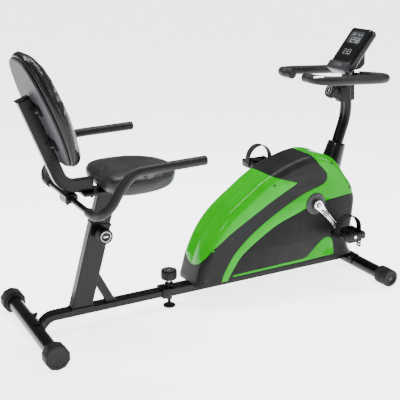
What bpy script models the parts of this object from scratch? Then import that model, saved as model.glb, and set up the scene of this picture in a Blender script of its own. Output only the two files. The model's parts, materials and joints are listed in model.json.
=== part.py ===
"""Recumbent exercise bike, modelled as its separate pieces.

Metres, +X forward, +Y to the rider's left, +Z up.  The origin lies on the floor,
midway along and across the bike.  Distances along the bike are first measured
from the rear stabiliser's axis and then shifted by ORIGIN_X.
"""
import bpy
import bmesh
from math import asin, atan2, cos, pi, radians, sin, sqrt, tan
from mathutils import Matrix, Vector

# ---------------------------------------------------------------- sizes ----
GAP = 0.0003                # kept between touching pieces

# floor contact
WHEELBASE = 1.395           # rear to front stabiliser axis
STABILISER_R = 0.026
STABILISER_WALL = 0.002
REAR_HALF_WIDTH = 0.268
FRONT_HALF_WIDTH = 0.268
REAR_CAP_R = 0.0435         # corner radius of the ten-sided cap
REAR_CAP_SIDES = 10
FRONT_CAP_R = 0.0361
CAP_LENGTH = 0.044
SADDLE_T = 0.0038
SADDLE_W = 0.104
CAP_WALL = 0.006
WHEEL_WIDTH = 0.030
REAR_AXIS_Z = REAR_CAP_R * cos(pi / REAR_CAP_SIDES)
FRONT_AXIS_Z = FRONT_CAP_R

# telescoping floor rail
RAIL_W = 0.052
RAIL_H = 0.032
RAIL_WALL = 0.0025
RAIL_BOTTOM = 0.0492
RAIL_TOP = RAIL_BOTTOM + RAIL_H
RAIL_MID = RAIL_BOTTOM + RAIL_H / 2
INNER_CLEARANCE = 0.001
INNER_W = RAIL_W - 2 * (RAIL_WALL + INNER_CLEARANCE)
INNER_H = RAIL_H - 2 * (RAIL_WALL + INNER_CLEARANCE)
RAIL_REAR_X = 0.498         # open rear end of the outer rail
RAIL_INSERT = 0.240         # how far the inner rail reaches inside
HOLE_PITCH = 0.0565
HOLE_R = 0.0055
PIN_R = 0.0048
RAIL_KNOB_X = RAIL_REAR_X + 0.036
RAIL_KNOB_R = 0.031
RAIL_KNOB_LOW = 0.031       # the grip's ends, above the rail
RAIL_KNOB_HIGH = 0.069
RAIL_KNOB_STEM_R = 0.0073
LOBED_NUT_R = 0.017
LOBED_NUT_H = 0.018
FOOT_SCREW_R = 0.006
FOOT_R = 0.0235

# leaning seat tube and seat post
SEAT_LEAN = radians(15.6)
SEAT_TUBE_FOOT_X = 0.1745
SEAT_TUBE_D = 0.076
SEAT_TUBE_W = 0.038
SEAT_TUBE_WALL = 0.002
SEAT_TUBE_LENGTH = 0.330
SEAT_POST_CLEARANCE = 0.001
SEAT_POST_INSERT = 0.200
SEAT_KNOB_UP = 0.300        # along the seat tube, from its foot
SEAT_KNOB_R = 0.0275
SEAT_KNOB_REACH = 0.060     # its face, out from the tube
SEAT_PLATE_Z = 0.4975
SEAT_PLATE_H = 0.010
SEAT_PLATE_W = 0.090
SEAT_PLATE_REAR_X = 0.196
SEAT_PLATE_LENGTH = 0.205

# bent back tube
BACK_LEAN = radians(21.0)
BACK_TUBE_D = 0.046
BACK_TUBE_W = 0.030
BACK_TUBE_WALL = 0.002
BACK_TUBE_TOP_Z = 0.843
BACK_BEND_R = 0.070
BACK_CORNER_X = 0.137
BACK_TUBE_END_X = 0.243

# cushions
SEAT_REAR_X = 0.247
SEAT_LENGTH = 0.303
SEAT_HALF_WIDTH = 0.165
SEAT_THICKNESS = 0.076
BACK_HALF_WIDTH = 0.160
BACK_HEIGHT = 0.415
BACK_BELOW_TOP = 0.260      # cushion's foot, below the mark on the back tube
BACK_THICKNESS = 0.052
BACK_PANEL_T = 0.008
BACK_PANEL_INSET = 0.014
BACK_BRACKET_T = 0.006
BACK_BRACKET_W = 0.120
BACK_BRACKETS = (-0.035, -0.163)  # up the back tube, from its mark

# side handles
HANDLE_X = 0.1547
HANDLE_Z = 0.4930
HANDLE_TUBE_R = 0.011
HANDLE_WALL = 0.0016
HANDLE_FOAM_R = 0.016
HANDLE_HALF_WIDTH = 0.2975
HANDLE_FOAM_START = 0.183
HANDLE_CLAMP_W = 0.070

# shroud; its outlines are measured from the crank axis
CRANK_X = WHEELBASE - 0.257
CRANK_Z = 0.342
SHROUD_HALF_WIDTH = 0.088
SHROUD_SHOULDER = 0.030
SHROUD_WALL = 0.003
PANEL_GAP = 0.0005
WING_FOOT_Z = 0.156         # the rear panel's tip, and where its rounding starts
WING_SHOULDER_Z = 0.228
WING_HALF_WIDTH = 0.082
SHROUD_AXLE_ROOM = 0.006    # round the crank's axle
AXLE_COVER_R = 0.044
AXLE_COVER_T = 0.006

# crank, pedals and drive
CRANK_LENGTH = 0.165
CRANK_ANGLE = radians(-47.7)
CRANK_T = 0.013
CRANK_GAP = 0.010           # crank arm to shroud
CRANK_AXLE_R = 0.0085
BB_SHELL_R = 0.019
BB_SHELL_LENGTH = 0.064
PEDAL_LENGTH = 0.096
PEDAL_WIDTH = 0.104
PEDAL_T = 0.026
PEDAL_SPINDLE_R = 0.0062
STRAP_W = 0.036
STRAP_T = 0.0025
STRAP_RISE = 0.062
FLYWHEEL_X = CRANK_X - 0.253
FLYWHEEL_Z = 0.250
FLYWHEEL_R = 0.115
FLYWHEEL_T = 0.026
BELT_Y = 0.036
BELT_W = 0.009
PULLEY_Y = BELT_Y - BELT_W / 2 - 0.0017
BELT_T = 0.0025
DRIVE_PULLEY_R = 0.104
FLYWHEEL_PULLEY_R = 0.026
AXLE_R = 0.006
MAGNET_PIVOT_X = FLYWHEEL_X - 0.118
MAGNET_PIVOT_Z = 0.112

# handle post and handlebar
POST_LEAN = radians(18.3)
POST_FOOT_X = CRANK_X + 0.124
POST_FOOT_Z = 0.446
POST_BEND_Z = 0.668
POST_TOP_Z = 0.8005
POST_TOP_LEAN = radians(-5.0)
TENSION_Z = 0.754           # middle of the resistance dial's housing
POST_LOBE_R = 0.0155
POST_LOBE_OFFSET = 0.0115
UPRIGHT_D = 0.060
UPRIGHT_W = 0.040
UPRIGHT_WALL = 0.003
SLEEVE_TOP_R = 0.0355
SLEEVE_BOTTOM_R = 0.051
SLEEVE_LENGTH = 0.175
SLEEVE_WALL = 0.003
BAR_X = CRANK_X + 0.197
BAR_Z = 0.826
BAR_TUBE_R = 0.011
BAR_WALL = 0.0016
BAR_FOAM_R = 0.0175
BAR_HALF_WIDTH = 0.150
BAR_REAR_X = BAR_X - 0.238
BAR_FRONT_X = BAR_X + 0.090
BAR_END_Y = 0.042
BAR_SLOPE = -0.048
BAR_FOAM_START = 0.040
PULSE_T = 0.0012

# console
CONSOLE_TILT = radians(38.6)
CONSOLE_X = CRANK_X + 0.132
CONSOLE_Z = 0.851
CONSOLE_H = 0.198
WINDOW_LOW = 0.050          # up the console's face
WINDOW_MARGIN = 0.010
WINDOW_DEPTH = 0.0023
KEY_LOW = 0.010
KEY_HIGH = 0.030
KEY_W = 0.052
KEY_DEPTH = 0.006
KEY_GAP = 0.0008
BRACKET_LOW = 0.038
BRACKET_HIGH = 0.138
BRACKET_HALF_WIDTH = 0.022
CONSOLE_HALF_WIDTH = 0.0625
CONSOLE_T = 0.041

BAR_NOSE = 0.0048            # what the bar's rounded corners and the cap's bevel take off
ORIGIN_X = (BAR_FRONT_X + BAR_FOAM_R - BAR_NOSE - REAR_CAP_R) / 2

# ------------------------------------------------------------- materials ----
FINISHES = {
    "black_paint": ((0.012, 0.012, 0.013), 0.25, 0.0),
    "shroud_black": ((0.030, 0.030, 0.031), 0.38, 0.0),
    "shroud_green": ((0.060, 0.660, 0.004), 0.20, 0.0),
    "foam": ((0.032, 0.032, 0.034), 0.80, 0.0),
    "vinyl": ((0.060, 0.060, 0.062), 0.45, 0.0),
    "panel": ((0.075, 0.075, 0.085), 0.60, 0.0),
    "black_plastic": ((0.020, 0.020, 0.021), 0.45, 0.0),
    "grey_plastic": ((0.110, 0.110, 0.120), 0.50, 0.0),
    "rubber": ((0.026, 0.026, 0.027), 0.70, 0.0),
    "chrome": ((0.800, 0.800, 0.810), 0.10, 1.0),
    "steel": ((0.500, 0.500, 0.520), 0.30, 1.0),
    "cast_iron": ((0.090, 0.090, 0.095), 0.55, 1.0),
    "screen": ((0.200, 0.210, 0.210), 0.12, 0.0),
}


def make_material(name):
    colour, roughness, metallic = FINISHES[name]
    material = bpy.data.materials.new(name)
    material.use_nodes = True
    shader = material.node_tree.nodes["Principled BSDF"]
    shader.inputs["Base Color"].default_value = (*colour, 1.0)
    shader.inputs["Roughness"].default_value = roughness
    shader.inputs["Metallic"].default_value = metallic
    return material


# --------------------------------------------------------------- scene ----
for old in list(bpy.data.objects):
    bpy.data.objects.remove(old, do_unlink=True)

parts = bpy.data.collections.new("recumbent_exercise_bike")
cutters = bpy.data.collections.new("cutters")
bpy.context.scene.collection.children.link(parts)
bpy.context.scene.collection.children.link(cutters)
materials = {name: make_material(name) for name in FINISHES}


# ------------------------------------------------------------- helpers ----
def along(x):
    """Turns a distance from the rear stabiliser's axis into a world X."""
    return x - ORIGIN_X


def side_name(side):
    return "left" if side > 0 else "right"


def keep(obj, name, material, smooth=True):
    """Files a finished piece under its name and gives it its material."""
    obj.name = name
    obj.data.name = name
    for collection in list(obj.users_collection):
        collection.objects.unlink(obj)
    parts.objects.link(obj)
    obj.data.materials.clear()
    obj.data.materials.append(materials[material])
    if smooth:
        obj.data.shade_smooth()
        obj.data.set_sharp_from_angle(angle=radians(35))
    return obj


def from_bmesh(bm):
    mesh = bpy.data.meshes.new("shape")
    bmesh.ops.recalc_face_normals(bm, faces=bm.faces)
    bm.to_mesh(mesh)
    bm.free()
    obj = bpy.data.objects.new("shape", mesh)
    cutters.objects.link(obj)
    return obj


def bake(obj):
    """Replaces an object by the mesh that its modifiers or curve give."""
    bpy.context.view_layer.update()
    evaluated = obj.evaluated_get(bpy.context.evaluated_depsgraph_get())
    mesh = bpy.data.meshes.new_from_object(evaluated)
    bm = bmesh.new()
    bm.from_mesh(mesh)
    bm.transform(obj.matrix_world)
    bmesh.ops.remove_doubles(bm, verts=bm.verts, dist=0.00001)
    bpy.data.objects.remove(obj, do_unlink=True)
    bpy.data.meshes.remove(mesh)
    return from_bmesh(bm)


def block(size, centre, lean=0.0, bevel=0.0, segments=2):
    """A box; lean tips its top forward, about the Y axis."""
    bm = bmesh.new()
    bmesh.ops.create_cube(bm, size=1.0)
    bmesh.ops.scale(bm, vec=Vector(size), verts=bm.verts)
    if bevel > 0:
        bmesh.ops.bevel(bm, geom=bm.edges[:], offset=bevel, segments=segments,
                        profile=0.5, affect="EDGES", clamp_overlap=True)
    bmesh.ops.rotate(bm, cent=(0, 0, 0), matrix=Matrix.Rotation(lean, 3, "Y"), verts=bm.verts)
    bmesh.ops.translate(bm, vec=Vector(centre), verts=bm.verts)
    return from_bmesh(bm)


def rod(radius, start, end, sides=20, end_radius=None, chamfer=0.0):
    """A cylinder or cone between two points."""
    start, end = Vector(start), Vector(end)
    span = end - start
    bm = bmesh.new()
    bmesh.ops.create_cone(bm, cap_ends=True, segments=sides, radius1=radius,
                          radius2=radius if end_radius is None else end_radius,
                          depth=span.length)
    if chamfer > 0:
        rims = [edge for edge in bm.edges if abs(edge.verts[0].co.z - edge.verts[1].co.z) < 1e-6]
        bmesh.ops.bevel(bm, geom=rims, offset=chamfer, segments=1, profile=0.5,
                        affect="EDGES", clamp_overlap=True)
    turn = Vector((0, 0, 1)).rotation_difference(span)
    bmesh.ops.rotate(bm, cent=(0, 0, 0), matrix=turn.to_matrix(), verts=bm.verts)
    bmesh.ops.translate(bm, vec=(start + end) / 2, verts=bm.verts)
    return from_bmesh(bm)


def curve_points(curve, points, cyclic):
    spline = curve.splines.new("POLY")
    spline.points.add(len(points) - 1)
    for point, place in zip(spline.points, points):
        point.co = (*place, 1.0)
    spline.use_cyclic_u = cyclic


def sheet(outlines, y_low, y_high, edge=0.0, edge_steps=2, grow=0.0):
    """Flat XZ outlines, in world X and Z, made solid from y_low to y_high."""
    curve = bpy.data.curves.new("outline", "CURVE")
    curve.dimensions = "2D"
    curve.fill_mode = "BOTH"
    curve.extrude = (y_high - y_low) / 2 - edge
    curve.bevel_depth = edge
    curve.bevel_resolution = edge_steps
    curve.offset = grow - edge
    for outline in outlines:
        curve_points(curve, [(x, z, 0.0) for x, z in outline], True)
    obj = bpy.data.objects.new("outline", curve)
    obj.rotation_euler = (pi / 2, 0, 0)
    obj.location = (0, (y_low + y_high) / 2, 0)
    cutters.objects.link(obj)
    return bake(obj)


def smooth_path(points, steps=5):
    """Points on a smooth curve through the given ones."""
    places = [Vector(point) for point in points]
    places = [2 * places[0] - places[1]] + places + [2 * places[-1] - places[-2]]
    path = []
    for index in range(1, len(places) - 2):
        before, here, there, after = places[index - 1:index + 3]
        for step in range(steps):
            t = step / steps
            path.append(0.5 * (2 * here + (there - before) * t
                               + (2 * before - 5 * here + 4 * there - after) * t ** 2
                               + (3 * here - before - 3 * there + after) * t ** 3))
    path.append(places[-2])
    kept = path[:1]
    for here, after in zip(path[1:], path[2:]):
        if (here - kept[-1]).angle(after - here) > radians(4):
            kept.append(here)
    return kept + path[-1:]


def stretched(path, extra):
    """The same path with its last point moved on along its last direction."""
    return path[:-1] + [path[-1] + (path[-1] - path[-2]).normalized() * extra]


def tube(points, radius, detail=4, caps=True):
    """A round bar along a path; its section has 2 * detail + 4 sides."""
    curve = bpy.data.curves.new("tube", "CURVE")
    curve.dimensions = "3D"
    curve.bevel_depth = radius
    curve.bevel_resolution = detail
    curve.use_fill_caps = caps
    curve_points(curve, points, False)
    obj = bpy.data.objects.new("tube", curve)
    cutters.objects.link(obj)
    return bake(obj)


def room_for(radius, sides=10):
    """A hole's radius that clears a many-sided tube whichever way its flats face."""
    return radius / cos(pi / sides) + GAP


def pipe(points, radius, wall, detail=4):
    """A hollow tube, open at both ends."""
    obj = tube(points, radius, detail, caps=False)
    shell = obj.modifiers.new("wall", "SOLIDIFY")
    shell.thickness = wall
    shell.offset = -1.0
    return bake(obj)


def join(obj, tool, how="DIFFERENCE"):
    """Cuts or joins one shape with another and leaves the tool among the cutters."""
    step = obj.modifiers.new(how.lower(), "BOOLEAN")
    step.operation = how
    step.solver = "EXACT"
    step.object = tool
    tool.hide_render = True
    tool.display_type = "WIRE"
    result = bake(obj)
    return result


def cut(obj, *tools):
    for tool in tools:
        obj = join(obj, tool, "DIFFERENCE")
    return obj


def weld(obj, *tools):
    for tool in tools:
        obj = join(obj, tool, "UNION")
    return obj


def overlap(obj, tool):
    return join(obj, tool, "INTERSECT")


def arc(centre, radius, start, end, steps):
    """Points on an arc in the XZ plane; angles in radians from +X towards +Z."""
    turn = [start + (end - start) * step / steps for step in range(steps + 1)]
    return [(centre[0] + radius * cos(a), centre[1] + radius * sin(a)) for a in turn]


def bar_outline(centre_line, depth):
    """The two edges of a bar that follows a line in the XZ plane."""
    upper, lower = [], []
    last = len(centre_line) - 1
    for index, (x, z) in enumerate(centre_line):
        x0, z0 = centre_line[max(index - 1, 0)]
        x1, z1 = centre_line[min(index + 1, last)]
        length = sqrt((x1 - x0) ** 2 + (z1 - z0) ** 2)
        side_x, side_z = -(z1 - z0) / length, (x1 - x0) / length
        upper.append((x + side_x * depth / 2, z + side_z * depth / 2))
        lower.append((x - side_x * depth / 2, z - side_z * depth / 2))
    return upper + lower[::-1]


def turned(profile, start, axis, steps=24):
    """A solid turned about an axis; the profile is (radius, distance) from its top down."""
    mesh = bpy.data.meshes.new("profile")
    vertices = [(radius, 0.0, height) for radius, height in profile]
    edges = [(index, index + 1) for index in range(len(vertices) - 1)]
    mesh.from_pydata(vertices, edges, [])
    obj = bpy.data.objects.new("profile", mesh)
    cutters.objects.link(obj)
    screw = obj.modifiers.new("turn", "SCREW")
    screw.steps = steps
    screw.render_steps = steps
    screw.use_merge_vertices = True
    screw.merge_threshold = 0.00001
    obj.rotation_euler = Vector((0, 0, 1)).rotation_difference(Vector(axis)).to_euler()
    obj.location = start
    return bake(obj)


# --------------------------------------------------------- floor pieces ----
def stabiliser(name, x, z, half_width):
    body = pipe([(along(x), -half_width, z), (along(x), half_width, z)],
                STABILISER_R, STABILISER_WALL, detail=8)
    keep(body, name, "black_paint")


def rear_cap(side):
    """A ten-sided cup that closes the tube and stands on one of its flats."""
    centre = Vector((along(0.0), 0, REAR_AXIS_Z))
    outer = centre + Vector((0, side * REAR_HALF_WIDTH, 0))
    inner = outer - Vector((0, side * CAP_LENGTH, 0))
    flat_turn = pi / REAR_CAP_SIDES
    body = rod(REAR_CAP_R, inner, outer, sides=REAR_CAP_SIDES)
    body.data.transform(Matrix.Translation(centre) @ Matrix.Rotation(flat_turn, 4, "Y")
                        @ Matrix.Translation(-centre))
    bevel = body.modifiers.new("edges", "BEVEL")
    bevel.width = 0.003
    bevel.segments = 1
    bevel.limit_method = "ANGLE"
    body = bake(body)
    wall = Vector((0, side * CAP_WALL, 0))
    bore = rod(STABILISER_R + GAP, inner - wall, outer - wall, sides=20)
    keep(cut(body, bore), "rear_cap_" + side_name(side), "rubber")


def front_end(side):
    """The fixed end cap and the transport wheel outside it."""
    centre = Vector((along(WHEELBASE), 0, FRONT_AXIS_Z))
    outer = centre + Vector((0, side * (FRONT_HALF_WIDTH - WHEEL_WIDTH - 0.001), 0))
    inner = outer - Vector((0, side * 0.034, 0))
    body = rod(FRONT_CAP_R, inner, outer, sides=28, chamfer=0.002)
    wall = Vector((0, side * CAP_WALL, 0))
    body = cut(body, rod(STABILISER_R + GAP, inner - wall, outer - wall, sides=20))
    hub = rod(0.008, outer - wall / 2, outer + Vector((0, side * (WHEEL_WIDTH - 0.006), 0)), sides=16)
    keep(weld(body, hub), "front_cap_" + side_name(side), "rubber")
    start = centre + Vector((0, side * (FRONT_HALF_WIDTH - WHEEL_WIDTH), 0))
    end = centre + Vector((0, side * FRONT_HALF_WIDTH, 0))
    wheel = rod(FRONT_CAP_R - 0.0006, start, end, sides=28, chamfer=0.003)
    bore = rod(0.008 + GAP, start - wall, end - wall / 2, sides=16)
    keep(cut(wheel, bore), "transport_wheel_" + side_name(side), "rubber")


def add_saddle(rail, x, z, middle):
    """Welds a half-round plate to a rail's end; the stabiliser tube lies in it."""
    outline = arc((along(x), z), STABILISER_R + SADDLE_T, middle - 1.1, middle + 1.1, 10)
    plate = sheet([outline + [(along(x), z)]], -SADDLE_W / 2, SADDLE_W / 2)
    wide = SADDLE_W
    room = rod(STABILISER_R + GAP, (along(x), -wide, z), (along(x), wide, z), sides=20)
    return cut(weld(rail, plate), room)


# ---------------------------------------------------------- rear frame ----
def seat_axis(distance, y=0.0):
    """A point on the seat tube's axis, measured up from the rail's middle."""
    return Vector((along(SEAT_TUBE_FOOT_X) + distance * sin(SEAT_LEAN), y,
                   RAIL_MID + distance * cos(SEAT_LEAN)))


def inner_rail_line(extra=0.0):
    """Centre line of the inner rail, from its front end to the rear stabiliser."""
    reach = STABILISER_R - 0.002
    end_angle = radians(48)
    bend = 0.052
    start_x = 0.040 + bend * sin(end_angle)
    centre = (along(start_x), RAIL_MID - bend)
    line = [(along(RAIL_REAR_X + RAIL_INSERT + extra), RAIL_MID)]
    line += arc(centre, bend, pi / 2, pi / 2 + end_angle, 6)
    tail = Vector((-cos(end_angle), -sin(end_angle)))
    to_axis = Vector((along(0.0), REAR_AXIS_Z)) - Vector(line[-1])
    line.append(tuple(Vector(line[-1]) + tail * (to_axis.length - reach)))
    return line


def rear_frame():
    """Inner rail, seat tube and brace, welded into one piece."""
    half = INNER_W / 2
    body = sheet([bar_outline(inner_rail_line(), INNER_H)], -half, half, edge=0.002, edge_steps=0)
    foot = seat_axis(0.006)
    top = seat_axis(SEAT_TUBE_LENGTH)
    seat_tube = block((SEAT_TUBE_D, SEAT_TUBE_W, (top - foot).length), (foot + top) / 2,
                      lean=SEAT_LEAN, bevel=0.004)
    brace_top = seat_axis(0.130) + Vector((SEAT_TUBE_D / 2 - 0.012, 0, 0))
    brace_foot = Vector((along(SEAT_TUBE_FOOT_X + 0.122), 0, RAIL_MID + 0.004))
    brace_span = brace_foot - brace_top
    brace = block((0.032, 0.030, brace_span.length), (brace_top + brace_foot) / 2,
                  lean=atan2(brace_span.x, brace_span.z), bevel=0.003)
    body = weld(body, seat_tube, brace)
    inside = SEAT_TUBE_D - 2 * SEAT_TUBE_WALL, SEAT_TUBE_W - 2 * SEAT_TUBE_WALL
    cavity_foot, cavity_top = seat_axis(0.045), seat_axis(SEAT_TUBE_LENGTH + 0.02)
    seat_cavity = block((*inside, (cavity_top - cavity_foot).length),
                        (cavity_foot + cavity_top) / 2, lean=SEAT_LEAN)
    rail_cavity = block((RAIL_REAR_X + RAIL_INSERT - 0.120, INNER_W - 0.004, INNER_H - 0.004),
                        (along((RAIL_REAR_X + RAIL_INSERT + 0.160) / 2), 0, RAIL_MID))
    knob_hole = rod(room_for(PIN_R, 24), seat_axis(SEAT_KNOB_UP, -SEAT_TUBE_W),
                    seat_axis(SEAT_KNOB_UP, -SEAT_TUBE_W / 4), sides=24)
    body = cut(body, seat_cavity, rail_cavity, knob_hole)
    for number in range(-2, 4):
        x = along(RAIL_KNOB_X - number * HOLE_PITCH)
        body = cut(body, rod(HOLE_R, (x, 0, RAIL_MID), (x, 0, RAIL_TOP + 0.01), sides=12))
    keep(add_saddle(body, 0.0, REAR_AXIS_Z, radians(50)), "rear_frame", "black_paint")


# --------------------------------------------------------- seat carriage ----
def back_line():
    """Centre line of the bent back tube, from its top to its front end."""
    height = SEAT_PLATE_Z + SEAT_PLATE_H + GAP + BACK_TUBE_D / 2
    down = Vector((sin(BACK_LEAN), -cos(BACK_LEAN)))
    corner = Vector((along(BACK_CORNER_X), height))
    bend_angle = pi / 2 - BACK_LEAN
    reach = BACK_BEND_R * tan(bend_angle / 2)
    centre = corner + Vector((reach, BACK_BEND_R))
    rise = (BACK_TUBE_TOP_Z - height) / cos(BACK_LEAN)
    line = [tuple(corner - down * rise)]
    line += arc(centre, BACK_BEND_R, 3 * pi / 2 - bend_angle, 3 * pi / 2, 8)
    line.append((along(BACK_TUBE_END_X), height))
    return line


def back_point(up, forward, y=0.0):
    """A point on the backrest: up along the back tube, forward from its front face."""
    top = Vector(back_line()[0])
    mark = top - Vector((-sin(BACK_LEAN), cos(BACK_LEAN))) * 0.010
    rise = Vector((-sin(BACK_LEAN), cos(BACK_LEAN))) * up
    out = Vector((cos(BACK_LEAN), sin(BACK_LEAN))) * (forward + BACK_TUBE_D / 2)
    place = mark + rise + out
    return Vector((place.x, y, place.y))


def seat_frame():
    """Seat post, seat plate, bent back tube and its cross brackets, welded together."""
    post_size = (SEAT_TUBE_D - 2 * (SEAT_TUBE_WALL + SEAT_POST_CLEARANCE),
                 SEAT_TUBE_W - 2 * (SEAT_TUBE_WALL + SEAT_POST_CLEARANCE))
    plate_z = SEAT_PLATE_Z + SEAT_PLATE_H / 2
    foot = seat_axis(SEAT_TUBE_LENGTH - SEAT_POST_INSERT)
    top_distance = (SEAT_PLATE_Z + 0.002 - RAIL_MID) / cos(SEAT_LEAN)
    top = seat_axis(top_distance)
    post = block((*post_size, (top - foot).length), (foot + top) / 2, lean=SEAT_LEAN, bevel=0.003)
    plate = block((SEAT_PLATE_LENGTH, SEAT_PLATE_W, SEAT_PLATE_H),
                  (along(SEAT_PLATE_REAR_X + SEAT_PLATE_LENGTH / 2), 0, plate_z), bevel=0.001, segments=1)
    half = BACK_TUBE_W / 2
    back = sheet([bar_outline(back_line(), BACK_TUBE_D)], -half, half, edge=0.003, edge_steps=1)
    seam = block((0.040, BACK_TUBE_W - 0.004, 0.006),
                 (along(BACK_TUBE_END_X - 0.024), 0, SEAT_PLATE_Z + SEAT_PLATE_H + GAP))
    body = weld(post, plate, seam, back)
    for up in BACK_BRACKETS:
        bracket = block((0.034, BACK_BRACKET_W, BACK_BRACKET_T + 0.002),
                        back_point(up, BACK_BRACKET_T / 2 - 0.001),
                        lean=pi / 2 - BACK_LEAN)
        body = weld(body, bracket)
    cavity_foot = foot - (top - foot).normalized() * 0.02
    post_cavity = block((post_size[0] - 0.005, post_size[1] - 0.005, (top - cavity_foot).length - 0.012),
                        (cavity_foot + top) / 2 - Vector((sin(SEAT_LEAN), 0, cos(SEAT_LEAN))) * 0.006,
                        lean=SEAT_LEAN)
    inner_line = back_line()
    down = (Vector(inner_line[1]) - Vector(inner_line[0])).normalized()
    inner_line[0] = tuple(Vector(inner_line[0]) + down * 0.004)
    inner_line.append((along(BACK_TUBE_END_X + 0.01), inner_line[-1][1]))
    hollow = half - BACK_TUBE_WALL
    back_cavity = sheet([bar_outline(inner_line, BACK_TUBE_D - 2 * BACK_TUBE_WALL)], -hollow, hollow)
    keep(cut(body, post_cavity, back_cavity), "seat_frame", "black_paint")


def seat_cushion():
    """A tapered, rounded pad; the board inside it is flush with its underside."""
    rear = along(SEAT_REAR_X)
    half = SEAT_HALF_WIDTH
    base = SEAT_PLATE_Z + SEAT_PLATE_H + GAP * 2
    outline = [(0.010, -0.72), (0.030, -0.92), (0.075, -1.0), (0.150, -0.98), (0.215, -0.85),
               (0.265, -0.62), (0.292, -0.34), (0.303, 0.0)]
    left = [(x, -share) for x, share in outline[-2::-1]]
    points = [(0.0, -0.42)] + outline + left + [(0.0, 0.42)]
    bm = bmesh.new()
    ring = [bm.verts.new((rear + x * SEAT_LENGTH / 0.303, share * half, base)) for x, share in points]
    bottom = bm.faces.new(ring)
    top = bmesh.ops.extrude_face_region(bm, geom=[bottom])
    lifted = [item for item in top["geom"] if isinstance(item, bmesh.types.BMVert)]
    bmesh.ops.translate(bm, vec=(0, 0, SEAT_THICKNESS), verts=lifted)
    obj = from_bmesh(bm)
    bevel = obj.modifiers.new("rounding", "BEVEL")
    bevel.width = 0.024
    bevel.segments = 3
    bevel.limit_method = "ANGLE"
    bevel.angle_limit = radians(60)
    keep(bake(obj), "seat_cushion", "vinyl")


def back_outline(inset):
    """Half widths up the backrest: broad at the shoulders, waisted, narrow at its foot."""
    shape = [(0.0, 0.46), (0.022, 0.66), (0.075, 0.86), (0.140, 0.985), (0.200, 1.0), (0.250, 0.965),
             (0.300, 0.88), (0.345, 0.74), (0.378, 0.54), (0.396, 0.26)]
    right = []
    for height, share in shape:
        up = height * BACK_HEIGHT / 0.400
        up = min(max(up, inset), BACK_HEIGHT - inset * 1.2)
        right.append((-share * BACK_HALF_WIDTH + inset * (1 if share > 0.3 else 0.5), up))
    return right + [(-y, up) for y, up in right[::-1]]


def back_slab(name, material, inset, low, high, bevel):
    outline = back_outline(inset)
    bm = bmesh.new()
    near = [bm.verts.new(back_point(up - BACK_BELOW_TOP, low, y)) for y, up in outline]
    far = [bm.verts.new(back_point(up - BACK_BELOW_TOP, high, y)) for y, up in outline]
    bm.faces.new(near)
    bm.faces.new(far[::-1])
    count = len(outline)
    for index in range(count):
        following = (index + 1) % count
        bm.faces.new((near[index], far[index], far[following], near[following]))
    obj = from_bmesh(bm)
    rounding = obj.modifiers.new("rounding", "BEVEL")
    rounding.width = bevel
    rounding.segments = 3 if bevel > 0.005 else 1
    rounding.limit_method = "ANGLE"
    rounding.angle_limit = radians(60)
    keep(bake(obj), name, material)


def side_handle_path(side):
    """One side handle's centre line, out from the middle and forward to its end."""
    half = HANDLE_HALF_WIDTH
    lift = HANDLE_Z
    knots = [(0.0, 0.0, 0.0), (0.0, half - 0.090, 0.0), (0.003, half - 0.045, 0.004),
             (0.014, half - 0.012, 0.021), (0.038, half, 0.047), (0.066, half, 0.089),
             (0.095, half, 0.124), (0.125, half, 0.143), (0.171, half, 0.148),
             (0.280, half, 0.151), (0.371, half, 0.1535)]
    return smooth_path([(along(HANDLE_X) + x, side * y, lift + z) for x, y, z in knots], 2)


def side_handles():
    right, left = side_handle_path(-1), side_handle_path(1)
    keep(pipe(right[::-1] + left[1:], HANDLE_TUBE_R, HANDLE_WALL, detail=3), "side_handle_tube",
         "black_paint")
    for side in (-1, 1):
        path = side_handle_path(side)
        start = Vector((path[0].x, side * HANDLE_FOAM_START, path[0].z))
        foam = tube([start] + stretched(path, 0.003)[1:], HANDLE_FOAM_R, detail=4)
        hole = tube(stretched(path, GAP), room_for(HANDLE_TUBE_R), detail=3)
        keep(cut(foam, hole), "side_grip_" + side_name(side), "foam")
    clamp = block((0.044, HANDLE_CLAMP_W, 0.028), (along(HANDLE_X), 0, HANDLE_Z + 0.0005), bevel=0.002)
    reach = HANDLE_CLAMP_W
    bore = rod(room_for(HANDLE_TUBE_R), (along(HANDLE_X), -reach, HANDLE_Z),
               (along(HANDLE_X), reach, HANDLE_Z), sides=16)
    keep(cut(clamp, bore), "side_handle_clamp", "black_paint")


# ---------------------------------------------------------- main frame ----
def post_axis(distance):
    """A point on the handle post's lower axis, measured up from its foot."""
    return Vector((along(POST_FOOT_X) + distance * sin(POST_LEAN), 0,
                   POST_FOOT_Z + distance * cos(POST_LEAN)))


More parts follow.
